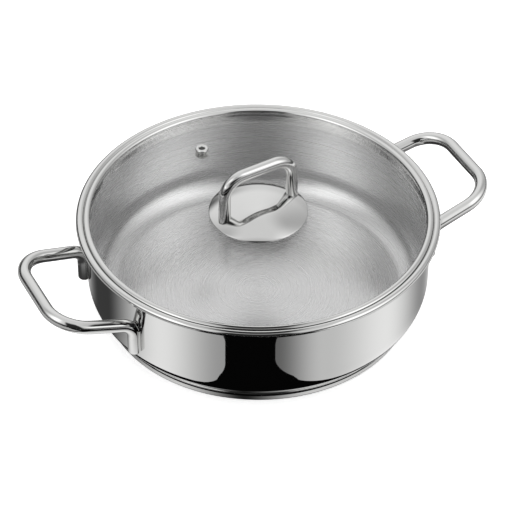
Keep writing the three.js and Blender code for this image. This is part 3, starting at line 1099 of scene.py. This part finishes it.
    def eyelet(self) -> bpy.types.Object:
        """Makes the vent tube with its rolled head and clinched tail.

        Returns:
            The tube.
        """
        crown = self.glass_top + self.vent_roll
        tail_top = self.glass_top - self.glass_thickness - self.vent_sheet
        tail_bottom = tail_top - self.vent_sheet
        eased = self.vent_tail - self.vent_ease
        profile = Turning(self.vent_bore, tail_bottom)
        profile.line(eased, tail_bottom)
        profile.arc(eased, tail_bottom + self.vent_ease, 90.0, 3)
        profile.line(self.vent_tail, tail_top)
        profile.line(self.vent_barrel, tail_top)
        profile.line(self.vent_barrel, self.glass_top)
        profile.line(self.vent_head - self.vent_roll, self.glass_top)
        profile.arc(self.vent_head - self.vent_roll, crown, 180.0, 14)
        profile.line(self.vent_bore + self.vent_roll, crown + self.vent_roll)
        profile.arc(self.vent_bore + self.vent_roll, crown, 90.0, 8)
        profile.close()
        mesh = profile.turn(self.vent_segments)
        bmesh.ops.translate(mesh, verts=mesh.verts[:], vec=self.vent_place())
        return self.piece("vent_eyelet", mesh, "vent_steel", [Finishes.GRIP])

    def vent_washer(self) -> bpy.types.Object:
        """Makes the washer under the glass.

        Returns:
            The washer.
        """
        top = self.glass_top - self.glass_thickness
        bottom = top - self.vent_sheet
        eased = self.vent_ring - self.vent_ease
        profile = Turning(self.vent_hole, bottom)
        profile.line(eased, bottom)
        profile.arc(eased, bottom + self.vent_ease, 90.0, 3)
        profile.line(self.vent_ring, top)
        profile.line(self.vent_hole, top)
        profile.close()
        mesh = profile.turn(self.vent_segments)
        bmesh.ops.translate(mesh, verts=mesh.verts[:], vec=self.vent_place())
        return self.piece("vent_washer", mesh, "vent_steel", [Finishes.FIXING])


@dataclass
class LidKnob(SubAssembly):
    """Pressed dome, welded rod grip and the clamp through the glass.

    Attributes:
        turn_degrees: Turn of the grip about the axis.
        dome_radius: Radius of the dome's rim.
        dome_lift: Height of the dome's lower edge above the glass.
        dome_edge: Height of its upright edge.
        dome_rise: Rise of the dome above that edge.
        dome_thickness: Sheet thickness of the dome.
        rim_round: Radius of its rounded rim.
        grip_half: Half the distance between the grip's legs.
        grip_height: Height of the middle of its bar.
        grip_corner: Bend radius of its corners.
        grip_sink: How far its feet sink into the dome, for the weld.
        rod_radius: Radius of its rod.
        rod_sides: Facets round the rod.
        rod_step: Length of a facet along the rod.
        glass_top: Height of the glass's upper face.
        glass_bottom: Height of its lower face.
        boss_radius: Radius of the threaded bush.
        boss_fit: Room round the bush in the dome's flat middle.
        boss_roof: Thickness of the bush above its thread.
        boss_ease: Size of the bush's eased lower edges.
        screw_hole: Radius of the holes for the screw.
        gasket_hole: Radius of the hole in the upper gasket.
        gasket_radius: Radius of the upper gasket.
        gasket_thickness: Its thickness.
        gasket_round: Radius of its edges.
        seal_radius: Radius of the lower gasket.
        seal_thickness: Its thickness.
        seal_round: Radius of its lower edge.
        collar_radius: Radius of its collar in the glass.
        collar_height: Height of that collar.
        washer_radius: Radius of the plain washer.
        washer_thickness: Its thickness.
        washer_round: Radius of its lower edge.
        dome_segments: Facets round the dome.
        segments: Facets round the pieces of the clamp.
    """

    body: Body = Body.LID
    turn_degrees: float = 5.2
    dome_radius: float = 40.5
    dome_lift: float = 2.0
    dome_edge: float = 1.0
    dome_rise: float = 11.0
    dome_thickness: float = 1.0
    rim_round: float = 0.7
    grip_half: float = 31.9
    grip_height: float = 132.752
    grip_corner: float = 17.0
    grip_sink: float = 0.3
    rod_radius: float = 5.0
    rod_sides: int = 40
    rod_step: float = 1.2
    glass_top: float = LidPane.glass_top
    glass_bottom: float = LidPane.glass_top - LidPane.glass_thickness
    boss_radius: float = 8.0
    boss_fit: float = 0.3
    boss_roof: float = 2.0
    boss_ease: float = 0.4
    screw_hole: float = 3.3
    gasket_hole: float = 5.0
    gasket_radius: float = 15.0
    gasket_thickness: float = 1.8
    gasket_round: float = 0.4
    seal_radius: float = 13.0
    seal_thickness: float = 2.0
    seal_round: float = 0.5
    collar_radius: float = 4.7
    collar_height: float = 2.6
    washer_radius: float = 11.0
    washer_thickness: float = 1.2
    washer_round: float = 0.3
    dome_segments: int = 128
    segments: int = 64

    def build(self) -> list[bpy.types.Object]:
        """Makes every piece of the knob.

        Returns:
            The pieces, in the order in which they are made.
        """
        return [
            self.dome(),
            self.boss(),
            self.gasket_upper(),
            self.gasket_lower(),
            self.washer(),
            self.keep("knob_spring_washer", Finishes.FIXING),
            self.keep("knob_screw", Finishes.FIXING),
            self.grip(),
        ]

    def sphere(self) -> float:
        """Returns the radius of the dome's sphere."""
        return (self.dome_radius**2 + self.dome_rise**2) / (2 * self.dome_rise)

    def sphere_height(self) -> float:
        """Returns the height of the middle of the dome's sphere."""
        return self.glass_top + self.dome_lift + self.dome_edge + self.dome_rise - self.sphere()

    def dome_height(self, radius: float, depth: float) -> float:
        """Returns the height of the dome.

        Args:
            radius: Distance from the axis.
            depth: How far below the outer surface, along the normal.

        Returns:
            Height of that point.
        """
        return self.sphere_height() + math.sqrt((self.sphere() - depth) ** 2 - radius**2)

    def dome(self) -> bpy.types.Object:
        """Makes the pressed dome with a rounded rim.

        Returns:
            The dome.
        """
        sphere = self.sphere()
        centre = self.sphere_height()
        round_radius = self.dome_radius - self.rim_round
        round_degrees = math.degrees(math.acos(round_radius / (sphere - self.rim_round)))
        round_height = self.dome_height(round_radius, self.rim_round)
        inner = sphere - self.dome_thickness
        inner_rim = self.dome_radius - self.dome_thickness
        inner_degrees = math.degrees(math.acos(inner_rim / inner))
        flat = self.boss_radius + self.boss_fit
        flat_height = self.dome_height(flat, self.dome_thickness)
        flat_degrees = math.degrees(math.acos(flat / inner))
        profile = Turning(0.0, flat_height)
        profile.line(flat, flat_height)
        profile.arc(0.0, centre, inner_degrees - flat_degrees, 16)
        profile.line(round_radius, round_height - self.rim_round)
        profile.arc(round_radius, round_height, 90.0 + round_degrees, 12)
        profile.arc(0.0, centre, 90.0 - round_degrees, 48)
        return self.piece("knob_dome", profile.turn(self.dome_segments), "knob_steel", [Finishes.GRIP])

    def grip(self) -> bpy.types.Object:
        """Bends the rod grip and fits its feet to the dome.

        Returns:
            The grip.
        """
        foot = self.dome_height(self.grip_half + self.rod_radius, 0.0)
        corners = [
            Vector((-self.grip_half, 0.0, foot)),
            Vector((-self.grip_half, 0.0, self.grip_height)),
            Vector((self.grip_half, 0.0, self.grip_height)),
            Vector((self.grip_half, 0.0, foot)),
        ]
        rod = BentRod(corners[0], Vector((0.0, 0.0, 1.0)), self.rod_radius, self.rod_sides)
        rod.follow(corners, [self.grip_corner, self.grip_corner], self.rod_step)
        mesh = rod.mesh
        bmesh.ops.holes_fill(mesh, edges=mesh.edges[:], sides=0)
        closed(mesh)
        for corner in mesh.verts:
            sunk = self.dome_height(corner.co.xy.length / MM, self.grip_sink)
            if corner.co.z < sunk * MM:
                corner.co.z = sunk * MM
        turn = Matrix.Rotation(math.radians(self.turn_degrees), 3, "Z")
        bmesh.ops.rotate(mesh, verts=mesh.verts[:], cent=(0.0, 0.0, 0.0), matrix=turn)
        return self.piece("knob_arch", mesh, "knob_steel", [Finishes.GRIP])

    def boss(self) -> bpy.types.Object:
        """Makes the threaded bush under the dome.

        Returns:
            The bush.
        """
        top = self.dome_height(self.boss_radius + self.boss_fit, self.dome_thickness)
        hole_top = top - self.boss_roof
        bottom = self.glass_top + self.gasket_thickness
        profile = Turning(0.0, hole_top)
        profile.line(self.screw_hole, hole_top)
        profile.line(self.screw_hole, bottom + self.boss_ease)
        profile.line(self.screw_hole + self.boss_ease, bottom)
        profile.line(self.boss_radius - self.boss_ease, bottom)
        profile.line(self.boss_radius, bottom + self.boss_ease)
        profile.line(self.boss_radius, top)
        profile.line(0.0, top)
        return self.piece("knob_boss", profile.turn(self.segments), "fixing_steel", [Finishes.FIXING])

    def gasket_upper(self) -> bpy.types.Object:
        """Makes the silicone washer on the glass.

        Returns:
            The upper gasket.
        """
        top = self.glass_top + self.gasket_thickness
        rounded = self.gasket_radius - self.gasket_round
        profile = Turning(self.gasket_hole, self.glass_top)
        profile.line(rounded, self.glass_top)
        profile.arc(rounded, self.glass_top + self.gasket_round, 90.0, 4)
        profile.line(self.gasket_radius, top - self.gasket_round)
        profile.arc(rounded, top - self.gasket_round, 90.0, 4)
        profile.line(self.gasket_hole, top)
        profile.close()
        return self.piece("knob_gasket_upper", profile.turn(self.segments), "silicone", [Finishes.RUBBER])

    def gasket_lower(self) -> bpy.types.Object:
        """Makes the collared silicone washer under the glass.

        Returns:
            The lower gasket.
        """
        bottom = self.glass_bottom - self.seal_thickness
        rounded = self.seal_radius - self.seal_round
        collar_top = self.glass_bottom + self.collar_height
        profile = Turning(self.screw_hole, bottom)
        profile.line(rounded, bottom)
        profile.arc(rounded, bottom + self.seal_round, 90.0, 4)
        profile.line(self.seal_radius, self.glass_bottom)
        profile.line(self.collar_radius, self.glass_bottom)
        profile.line(self.collar_radius, collar_top)
        profile.line(self.screw_hole, collar_top)
        profile.close()
        return self.piece("knob_gasket_lower", profile.turn(self.segments), "silicone", [Finishes.RUBBER])

    def washer(self) -> bpy.types.Object:
        """Makes the plain washer.

        Returns:
            The washer.
        """
        top = self.glass_bottom - self.seal_thickness
        bottom = top - self.washer_thickness
        rounded = self.washer_radius - self.washer_round
        profile = Turning(self.screw_hole, bottom)
        profile.line(rounded, bottom)
        profile.arc(rounded, bottom + self.washer_round, 90.0, 4)
        profile.line(self.washer_radius, top)
        profile.line(self.screw_hole, top)
        profile.close()
        return self.piece("knob_washer", profile.turn(self.segments), "fixing_steel", [Finishes.FIXING])


@dataclass(frozen=True)
class GlowCard:
    """A glowing card on the floor, shaped so that the wall mirrors it as a soft panel.

    Each point of the card is where a ray from the camera lands after the wall has mirrored it.

    Attributes:
        name: Name of the card.
        inner: Edge nearest the camera's line, in degrees along the wall.
        outer: The other edge, in degrees along the wall.
        low: Height on the wall at which its lower edge shows.
        high: Height on the wall at which its upper edge shows.
        stops: Places across the card and the light there.
        strength: Factor on that light.
        low_corner: Width and length of the lower inner corner's round, as shares of the card.
        high_corner: The same for the upper inner corner.
        wall_radius: Outer radius of the wall.
        corner_radius: Radius of the corner under the wall.
        corner_height: Height at which that corner begins.
        height: Height of the card above the floor.
    """

    name: str
    inner: float
    outer: float
    low: float
    high: float
    stops: tuple[Pair, ...]
    strength: float = 1.0
    low_corner: Pair = (0.0, 1.0)
    high_corner: Pair = (0.0, 1.0)
    wall_radius: float = PotBody.wall_radius
    corner_radius: float = PotBody.corner_radius
    corner_height: float = PotBody.floor_underside + PotBody.corner_radius
    height: float = 1.6

    def mesh(self, elevation: float) -> bmesh.types.BMesh:
        """Makes the card, with its width as the first texture coordinate.

        Args:
            elevation: Height of the camera above the horizon, in degrees.

        Returns:
            The card, with the camera towards -y.
        """
        made = bmesh.new()
        bmesh.ops.create_grid(made, x_segments=64, y_segments=40, size=0.5)
        bmesh.ops.translate(made, verts=made.verts[:], vec=(0.5, 0.5, 0.0))
        layer = made.loops.layers.uv.new("across")
        for face in made.faces:
            for loop in face.loops:
                loop[layer].uv = (self.share(loop.vert.co.x, loop.vert.co.y), loop.vert.co.y)
        for corner in made.verts:
            corner.co = self.lands(self.share(corner.co.x, corner.co.y), corner.co.y, elevation)
        return made

    def share(self, across: float, along: float) -> float:
        """Rounds the inner corners.

        Args:
            across: Place from the rounded inner edge to the outer, 0 to 1.
            along: Place from the lower edge to the upper, 0 to 1.

        Returns:
            Place across the card without the rounds, 0 to 1.
        """
        edge = 0.0
        for (width, length), reach in ((self.low_corner, along), (self.high_corner, 1.0 - along)):
            cut = max(0.0, 1.0 - reach / length)
            edge += width * (1.0 - math.sqrt(1.0 - cut**2))
        return edge + across * (1.0 - edge)

    def lands(self, across: float, along: float, elevation: float) -> Vector:
        """Finds where the mirrored ray meets the card.

        Args:
            across: Place from the inner edge to the outer, 0 to 1.
            along: Place from the lower edge to the upper, 0 to 1.
            elevation: Height of the camera above the horizon, in degrees.

        Returns:
            The point, in metres.
        """
        angle = math.radians(self.inner + (self.outer - self.inner) * across)
        up = self.low + (self.high - self.low) * along
        lean = math.asin(max(0.0, self.corner_height - up) / self.corner_radius)
        radius = self.wall_radius - self.corner_radius * (1.0 - math.cos(lean))
        outward = Vector((math.sin(angle), -math.cos(angle), 0.0))
        normal = outward * math.cos(lean) - Vector((0.0, 0.0, math.sin(lean)))
        sight = Vector((0.0, math.cos(math.radians(elevation)), -math.sin(math.radians(elevation))))
        mirrored = sight.reflect(normal)
        spot = outward * radius + Vector((0.0, 0.0, up))
        return (spot + mirrored * ((self.height - up) / mirrored.z)) * MM


@dataclass(frozen=True)
class FrontFlag:
    """A level flag that hangs above the front of the pot, dark in the middle and soft at its edges.

    Attributes:
        name: Name of the flag.
        half_width: Half its width.
        near: Its edge nearest the axis, towards the camera.
        far: Its other edge.
        height: Its height above the floor.
        stops: Places from the middle of the flag to its edge and the light there.
        strength: Factor on that light.
    """

    name: str
    half_width: float = 110.0
    near: float = 42.0
    far: float = 190.0
    height: float = 180.0
    stops: tuple[Pair, ...] = ((0.0, 0.04), (0.28, 0.04), (0.6, 0.7), (1.0, 0.84))
    strength: float = 1.0

    def mesh(self) -> bmesh.types.BMesh:
        """Makes the flag, with the way to its edge as the first texture coordinate.

        Returns:
            The flag, with the camera towards -y.
        """
        made = bmesh.new()
        bmesh.ops.create_grid(made, x_segments=32, y_segments=32, size=1.0)
        layer = made.loops.layers.uv.new("across")
        for face in made.faces:
            for loop in face.loops:
                # The front and back edges fade over a shorter way than the sides.
                share = math.hypot(loop.vert.co.x, loop.vert.co.y**4)
                loop[layer].uv = (min(1.0, share), 0.0)
        size = Vector((self.half_width, (self.far - self.near) / 2, 1.0)) * MM
        bmesh.ops.scale(made, verts=made.verts[:], vec=size)
        middle = Vector((0.0, -(self.near + self.far) / 2, self.height)) * MM
        bmesh.ops.translate(made, verts=made.verts[:], vec=middle)
        return made


@dataclass(frozen=True)
class FloorRing:
    """A sector of a ring of cloth that lies on the floor round the pot; the table ring's dark band next to
    the base is painted shadow.

    Attributes:
        name: Name of the ring.
        inner: Inner radius.
        outer: Outer radius.
        start: First edge, in degrees to the right of the camera.
        end: Last edge, in degrees to the right of the camera.
        height: Height above the floor.
        stops: Places from the inner edge to the outer and the light there.
        strength: Factor on that light.
    """

    name: str
    inner: float
    outer: float
    start: float
    end: float
    height: float
    stops: tuple[Pair, ...]
    strength: float = 1.0

    def mesh(self) -> bmesh.types.BMesh:
        """Makes the sector, with its width as the first texture coordinate.

        Returns:
            The sector, with the camera towards -y.
        """
        made = bmesh.new()
        near = made.verts.new((0.0, -self.inner * MM, self.height * MM))
        far = made.verts.new((0.0, -self.outer * MM, self.height * MM))
        line = made.edges.new((near, far))
        first = Matrix.Rotation(math.radians(self.start), 3, "Z")
        bmesh.ops.rotate(made, verts=[near, far], cent=(0.0, 0.0, 0.0), matrix=first)
        bmesh.ops.spin(
            made,
            geom=[near, far, line],
            cent=(0.0, 0.0, 0.0),
            axis=(0.0, 0.0, 1.0),
            angle=math.radians(self.end - self.start),
            steps=72,
        )
        layer = made.loops.layers.uv.new("across")
        for face in made.faces:
            for loop in face.loops:
                share = (loop.vert.co.xy.length / MM - self.inner) / (self.outer - self.inner)
                loop[layer].uv = (share, 0.0)
        return made


@dataclass(frozen=True)
class LightTent:
    """A wide cloth tent round the pot, with brighter and dimmer sides, that the steel mirrors.

    Attributes:
        name: Name of the tent.
        radius: Radius of the tent.
        low_stops: Places once round from behind the pot by its right side, and the light low down there.
        high_stops: The same for the light higher up.
        foot_light: Light at the foot of the tent, a dark line round the horizon.
        top_light: Light at the top.
        foot_band: Places in the rise between which the foot's light turns into the low light.
        low_band: Places in the rise between which the low light turns into the high light.
        high_band: Places in the rise between which the high light turns into the top light.
    """

    name: str = "light_tent"
    radius: float = 3000.0
    low_stops: tuple[Pair, ...] = (
        (0.0, 0.85),
        (0.15, 0.45),
        (0.3, 0.6),
        (0.43, 0.02),
        (0.57, 0.02),
        (0.68, 0.4),
        (0.8, 0.05),
        (0.9, 0.05),
        (1.0, 0.85),
    )
    high_stops: tuple[Pair, ...] = (
        (0.0, 1.0),
        (0.15, 0.55),
        (0.32, 1.6),
        (0.42, 0.8),
        (0.45, 0.03),
        (0.55, 0.03),
        (0.58, 0.9),
        (0.65, 1.7),
        (0.78, 0.6),
        (0.9, 0.95),
        (1.0, 1.0),
    )
    foot_light: float = 0.02
    top_light: float = 0.84
    foot_band: Pair = (0.02, 0.08)
    low_band: Pair = (0.13, 0.3)
    high_band: Pair = (0.6, 0.85)

    def mesh(self) -> bmesh.types.BMesh:
        """Makes the tent, with the way round and the rise as texture coordinates.

        Returns:
            The tent, with the camera towards -y.
        """
        made = bmesh.new()
        foot = made.verts.new((0.0, self.radius * MM, 0.0))
        bmesh.ops.spin(
            made, geom=[foot], cent=(0.0, 0.0, 0.0), axis=(1.0, 0.0, 0.0), angle=math.pi / 2, steps=24
        )
        bmesh.ops.spin(
            made,
            geom=made.verts[:] + made.edges[:],
            cent=(0.0, 0.0, 0.0),
            axis=(0.0, 0.0, -1.0),
            angle=math.tau,
            steps=96,
            use_merge=True,
        )
        closed(made)
        layer = made.loops.layers.uv.new("across")
        for face in made.faces:
            middle = face.calc_center_median()
            around = math.atan2(middle.x, middle.y) % math.tau / math.tau
            for loop in face.loops:
                turn = math.atan2(loop.vert.co.x, loop.vert.co.y) % math.tau / math.tau
                turn += round(around - turn)
                rise = math.asin(min(1.0, loop.vert.co.z / (self.radius * MM))) / (math.pi / 2)
                loop[layer].uv = (around if loop.vert.co.xy.length < MM else turn, rise)
        return made


@dataclass(frozen=True)
class SoftLamp:
    """A square soft lamp that is aimed at the pot.

    Attributes:
        name: Name of the lamp.
        place: Where it hangs, in metres, with the camera towards -y.
        size: Length of its sides, in metres.
        power: Its power in watts.
    """

    name: str
    place: tuple[float, float, float]
    size: float
    power: float


@dataclass
class Studio:
    """White floor and surround, soft lamps, reflection cards and the camera.

    Attributes:
        azimuth: Direction of the camera round the pot, in degrees.
        elevation: Its height above the horizon, in degrees.
        distance: Its distance from the target.
        target: Height on the axis that it is aimed past.
        roll: Roll of the camera, in degrees.
        yaw: How far it looks past the axis, in degrees.
        lens: Focal length of the camera.
        sensor: Width of its sensor.
        surround_fill: Light of the white surround on what isn't polished.
        floor_glow: Light that keeps the floor pale.
        floor_half: Half the width of the floor, in metres.
        glow_cards: Glowing cards that the wall mirrors.
        front_flag: Flag that darkens the front of the rim.
        floor_rings: Cloths on the floor that the wall and the handles mirror; the first carries a painted
            shadow round the base.
        tent: Tent that lights the polished steel from above.
        soft_lamps: Lamps round the pot.
        lamp_aim: Height on the axis that the lamps are aimed at.
    """

    azimuth: float = -26.9
    elevation: float = 40.36
    distance: float = 1841.85
    target: float = 45.0
    roll: float = 0.45
    yaw: float = 0.1275
    lens: float = 158.6
    sensor: float = 36.0
    surround_fill: float = 0.55
    floor_glow: float = 0.6
    floor_half: float = 6.0
    glow_cards: tuple[GlowCard, ...] = (
        GlowCard(
            "left_panel",
            inner=-10.4,
            outer=-86.0,
            low=23.2,
            high=78.4,
            # The dip to 0.05 between 0.65 and 0.75 is painted reflection: the dark streaks of the left handle
            # mirrored in the wall between its tabs.
            stops=((0.0, 0.4), (0.3, 1.0), (0.65, 0.05), (0.75, 0.05), (1.0, 0.5)),
            strength=1.05,
            low_corner=(0.14, 0.4),
            high_corner=(0.045, 0.24),
        ),
        GlowCard(
            "right_panel",
            inner=5.9,
            outer=88.0,
            low=21.5,
            high=78.4,
            stops=((0.0, 0.15), (0.2, 0.65), (0.5, 1.0), (0.8, 0.3), (1.0, 0.6)),
            strength=1.08,
            low_corner=(0.33, 0.54),
            high_corner=(0.035, 0.24),
        ),
        GlowCard(
            "base_strip",
            inner=-66.0,
            outer=80.0,
            low=0.6,
            high=4.2,
            stops=((0.0, 0.05), (0.25, 0.8), (0.42, 0.02), (0.6, 0.8), (1.0, 0.6)),
            wall_radius=PotBody.cap_radius,
            corner_height=0.0,
            height=0.1,
        ),
    )
    front_flag: FrontFlag = FrontFlag("front_flag")
    floor_rings: tuple[FloorRing, ...] = (
        FloorRing(
            "table_ring_painted_shadow",
            inner=127.2,
            outer=2500.0,
            start=-180.0,
            end=180.0,
            height=0.05,
            # The dark band from the base out to about 160 mm, greying by about 230 mm, is painted shadow: the
            # pot's contact shadow as the wall mirrors it.
            stops=(
                (0.0, 0.02),
                (0.014, 0.03),
                (0.045, 0.4),
                (0.09, 0.55),
                (0.16, 0.6),
                (0.25, 0.1),
                (1.0, 0.02),
            ),
        ),
        FloorRing(
            "right_sheet",
            inner=240.0,
            outer=900.0,
            start=32.0,
            end=132.0,
            height=0.08,
            stops=((0.0, 0.6), (0.12, 0.95), (0.7, 0.95), (1.0, 0.3)),
        ),
        FloorRing(
            "apron_ring",
            inner=127.2,
            outer=250.0,
            start=-54.0,
            end=54.0,
            height=0.06,
            stops=((0.0, 0.002), (1.0, 0.002)),
        ),
        FloorRing(
            "runner_ring",
            inner=245.0,
            outer=2500.0,
            start=-27.0,
            end=27.0,
            height=0.07,
            stops=((0.0, 0.002), (1.0, 0.002)),
        ),
    )
    tent: LightTent = LightTent()
    soft_lamps: tuple[SoftLamp, ...] = (
        SoftLamp("overhead_softbox", (0.0, 0.2, 1.6), size=1.6, power=14.0),
        SoftLamp("left_softbox", (-1.5, -0.6, 1.0), size=1.0, power=7.0),
        SoftLamp("right_softbox", (1.5, -0.6, 1.0), size=1.0, power=7.0),
    )
    lamp_aim: float = 50.0

    def build(self) -> None:
        """Sets up everything that isn't part of the pot."""
        bpy.context.scene.view_settings.view_transform = "Standard"
        self.camera()
        self.world()
        self.floor()
        self.cards()
        self.lamps()

    def camera(self) -> None:
        """Places the camera where the photograph was taken from."""
        data = bpy.data.cameras.new("studio_camera")
        data.sensor_width = self.sensor
        data.lens = self.lens
        data.clip_start = 0.05
        data.clip_end = 50.0
        made = bpy.data.objects.new("studio_camera", data)
        bpy.context.scene.collection.objects.link(made)
        aim = Matrix.Rotation(math.radians(self.azimuth), 4, "Z")
        aim = aim @ Matrix.Rotation(math.radians(90.0 - self.elevation), 4, "X")
        back = Matrix.Translation((0.0, 0.0, self.target * MM)) @ aim
        back = back @ Matrix.Translation((0.0, 0.0, self.distance * MM))
        tilt = Matrix.Rotation(math.radians(self.roll), 4, "Z")
        tilt = tilt @ Matrix.Rotation(math.radians(self.yaw), 4, "Y")
        made.matrix_world = back @ tilt
        bpy.context.scene.camera = made

    def white_rays(self, tree: bpy.types.NodeTree) -> bpy.types.NodeSocket:
        """Returns a socket that is 1 for rays that show the white backdrop.

        Args:
            tree: Node tree of the floor or the world.

        Returns:
            Output that is 1 for camera, glossy and transmitted rays.
        """
        rays = add_node(tree, "ShaderNodeLightPath").outputs
        first = add_node(
            tree, "ShaderNodeMath", {0: rays["Is Camera Ray"], 1: rays["Is Glossy Ray"]}, operation="MAXIMUM"
        )
        both = add_node(
            tree, "ShaderNodeMath", {0: first.outputs[0], 1: rays["Is Transmission Ray"]}, operation="MAXIMUM"
        )
        return both.outputs[0]

    def world(self) -> None:
        """Makes the white surround."""
        world = bpy.data.worlds.new("studio_white")
        bpy.context.scene.world = world
        world.use_nodes = True
        tree = world.node_tree
        tree.nodes.clear()
        paper = linear("#ffffff")
        fill = add_node(tree, "ShaderNodeBackground", {"Color": paper, "Strength": self.surround_fill})
        white = add_node(tree, "ShaderNodeBackground", {"Color": paper, "Strength": 1.0})
        mix = add_node(
            tree, "ShaderNodeMixShader", {0: self.white_rays(tree), 1: fill.outputs[0], 2: white.outputs[0]}
        )
        add_node(tree, "ShaderNodeOutputWorld", {"Surface": mix.outputs[0]})

    def floor(self) -> None:
        """Lays the pale floor, which keeps the pot's shadow."""
        mesh = bmesh.new()
        bmesh.ops.create_grid(mesh, x_segments=1, y_segments=1, size=self.floor_half)
        material = bpy.data.materials.new("pale_floor")
        material.use_nodes = True
        tree = material.node_tree
        tree.nodes.clear()
        paper = add_node(tree, "ShaderNodeBsdfDiffuse", {"Color": linear("#f2f2f2")})
        glow = add_node(
            tree, "ShaderNodeMath", {0: self.white_rays(tree), 1: self.floor_glow}, operation="MULTIPLY"
        )
        white = add_node(
            tree, "ShaderNodeEmission", {"Color": linear("#ffffff"), "Strength": glow.outputs[0]}
        )
        both = add_node(tree, "ShaderNodeAddShader", {0: paper.outputs[0], 1: white.outputs[0]})
        add_node(tree, "ShaderNodeOutputMaterial", {"Surface": both.outputs[0]})
        self.stand("floor", mesh, material, Seen.BY_CAMERA)

    def stand(
        self, name: str, mesh: bmesh.types.BMesh, material: bpy.types.Material, seen: Seen
    ) -> bpy.types.Object:
        """Sets up a floor or card.

        Args:
            name: Name of the object.
            mesh: Its mesh, freed here.
            material: Its material.
            seen: Whether the camera sees it, or only reflections do.

        Returns:
            The new object.
        """
        spin = Matrix.Rotation(math.radians(self.azimuth), 3, "Z")
        bmesh.ops.rotate(mesh, verts=mesh.verts[:], cent=(0.0, 0.0, 0.0), matrix=spin)
        data = bpy.data.meshes.new(name)
        mesh.to_mesh(data)
        mesh.free()
        data.materials.append(material)
        made = bpy.data.objects.new(name, data)
        bpy.context.scene.collection.objects.link(made)
        if seen is Seen.IN_REFLECTIONS:
            made.visible_camera = False
            made.visible_diffuse = False
            made.visible_shadow = False
            made.visible_transmission = False
        return made

    def glow(self, card: Union[GlowCard, FrontFlag, FloorRing]) -> bpy.types.Material:
        """Makes the cloth of a glowing card, brighter or darker along its width.

        Args:
            card: Card that gets the material.

        Returns:
            The new material.
        """
        made = bpy.data.materials.new(f"{card.name}_cloth")
        made.use_nodes = True
        tree = made.node_tree
        tree.nodes.clear()
        across = add_node(tree, "ShaderNodeTexCoord").outputs["UV"]
        width = add_node(tree, "ShaderNodeSeparateXYZ", {0: across}).outputs["X"]
        level = add_node(tree, "ShaderNodeValToRGB", {0: width}, card.stops).outputs["Color"]
        light = add_node(tree, "ShaderNodeEmission", {"Color": level, "Strength": card.strength})
        add_node(tree, "ShaderNodeOutputMaterial", {"Surface": light.outputs[0]})
        return made

    def tent_cloth(self) -> bpy.types.Material:
        """Makes the cloth of the tent, lit in bands that even out towards the top.

        Returns:
            The new material.
        """
        made = bpy.data.materials.new("tent_cloth")
        made.use_nodes = True
        tree = made.node_tree
        tree.nodes.clear()
        place = add_node(tree, "ShaderNodeTexCoord").outputs["UV"]
        parts = add_node(tree, "ShaderNodeSeparateXYZ", {0: place}).outputs
        low = add_node(tree, "ShaderNodeValToRGB", {0: parts["X"]}, self.tent.low_stops).outputs["Color"]
        high = add_node(tree, "ShaderNodeValToRGB", {0: parts["X"]}, self.tent.high_stops).outputs["Color"]
        level = self.tent.foot_light
        for (start, end), above in (
            (self.tent.foot_band, low),
            (self.tent.low_band, high),
            (self.tent.high_band, self.tent.top_light),
        ):
            share = add_node(
                tree,
                "ShaderNodeMapRange",
                {"Value": parts["Y"], "From Min": start, "From Max": end},
                interpolation_type="SMOOTHSTEP",
            ).outputs["Result"]
            mix = add_node(tree, "ShaderNodeMix", {0: share, 2: level, 3: above}, data_type="FLOAT")
            level = mix.outputs[0]
        light = add_node(tree, "ShaderNodeEmission", {"Strength": level})
        add_node(tree, "ShaderNodeOutputMaterial", {"Surface": light.outputs[0]})
        return made

    def cards(self) -> None:
        """Sets the cards that show only in the polished steel."""
        for card in self.glow_cards:
            self.stand(card.name, card.mesh(self.elevation), self.glow(card), Seen.IN_REFLECTIONS)
        for flag in (self.front_flag, *self.floor_rings):
            self.stand(flag.name, flag.mesh(), self.glow(flag), Seen.IN_REFLECTIONS)
        self.stand(self.tent.name, self.tent.mesh(), self.tent_cloth(), Seen.IN_REFLECTIONS)

    def lamps(self) -> None:
        """Hangs the soft lamps."""
        spin = Matrix.Rotation(math.radians(self.azimuth), 4, "Z")
        middle = Vector((0.0, 0.0, self.lamp_aim * MM))
        for lamp in self.soft_lamps:
            data = bpy.data.lights.new(lamp.name, "AREA")
            data.shape = "SQUARE"
            data.size = lamp.size
            data.energy = lamp.power
            made = bpy.data.objects.new(lamp.name, data)
            made.visible_glossy = False
            bpy.context.scene.collection.objects.link(made)
            spot = spin @ Vector(lamp.place)
            aim = (middle - spot).to_track_quat("-Z", "Y")
            made.matrix_world = Matrix.Translation(spot) @ aim.to_matrix().to_4x4()


def main() -> None:
    """Builds the studio and the pot, and notes the sizes."""
    logging.basicConfig(level=logging.INFO, format="%(name)s: %(message)s")
    Studio().build()
    groups: list[SubAssembly] = [
        PotBody(),
        SideHandle(node="handle_right", side=1),
        SideHandle(node="handle_left", side=-1),
        LidPane(),
        LidKnob(),
    ]
    for group in groups:
        for made in group.build():
            LOG.info("%s: %d faces on %s", made.name, len(made.data.polygons), group.body.value)


if __name__ == "__main__":
    main()
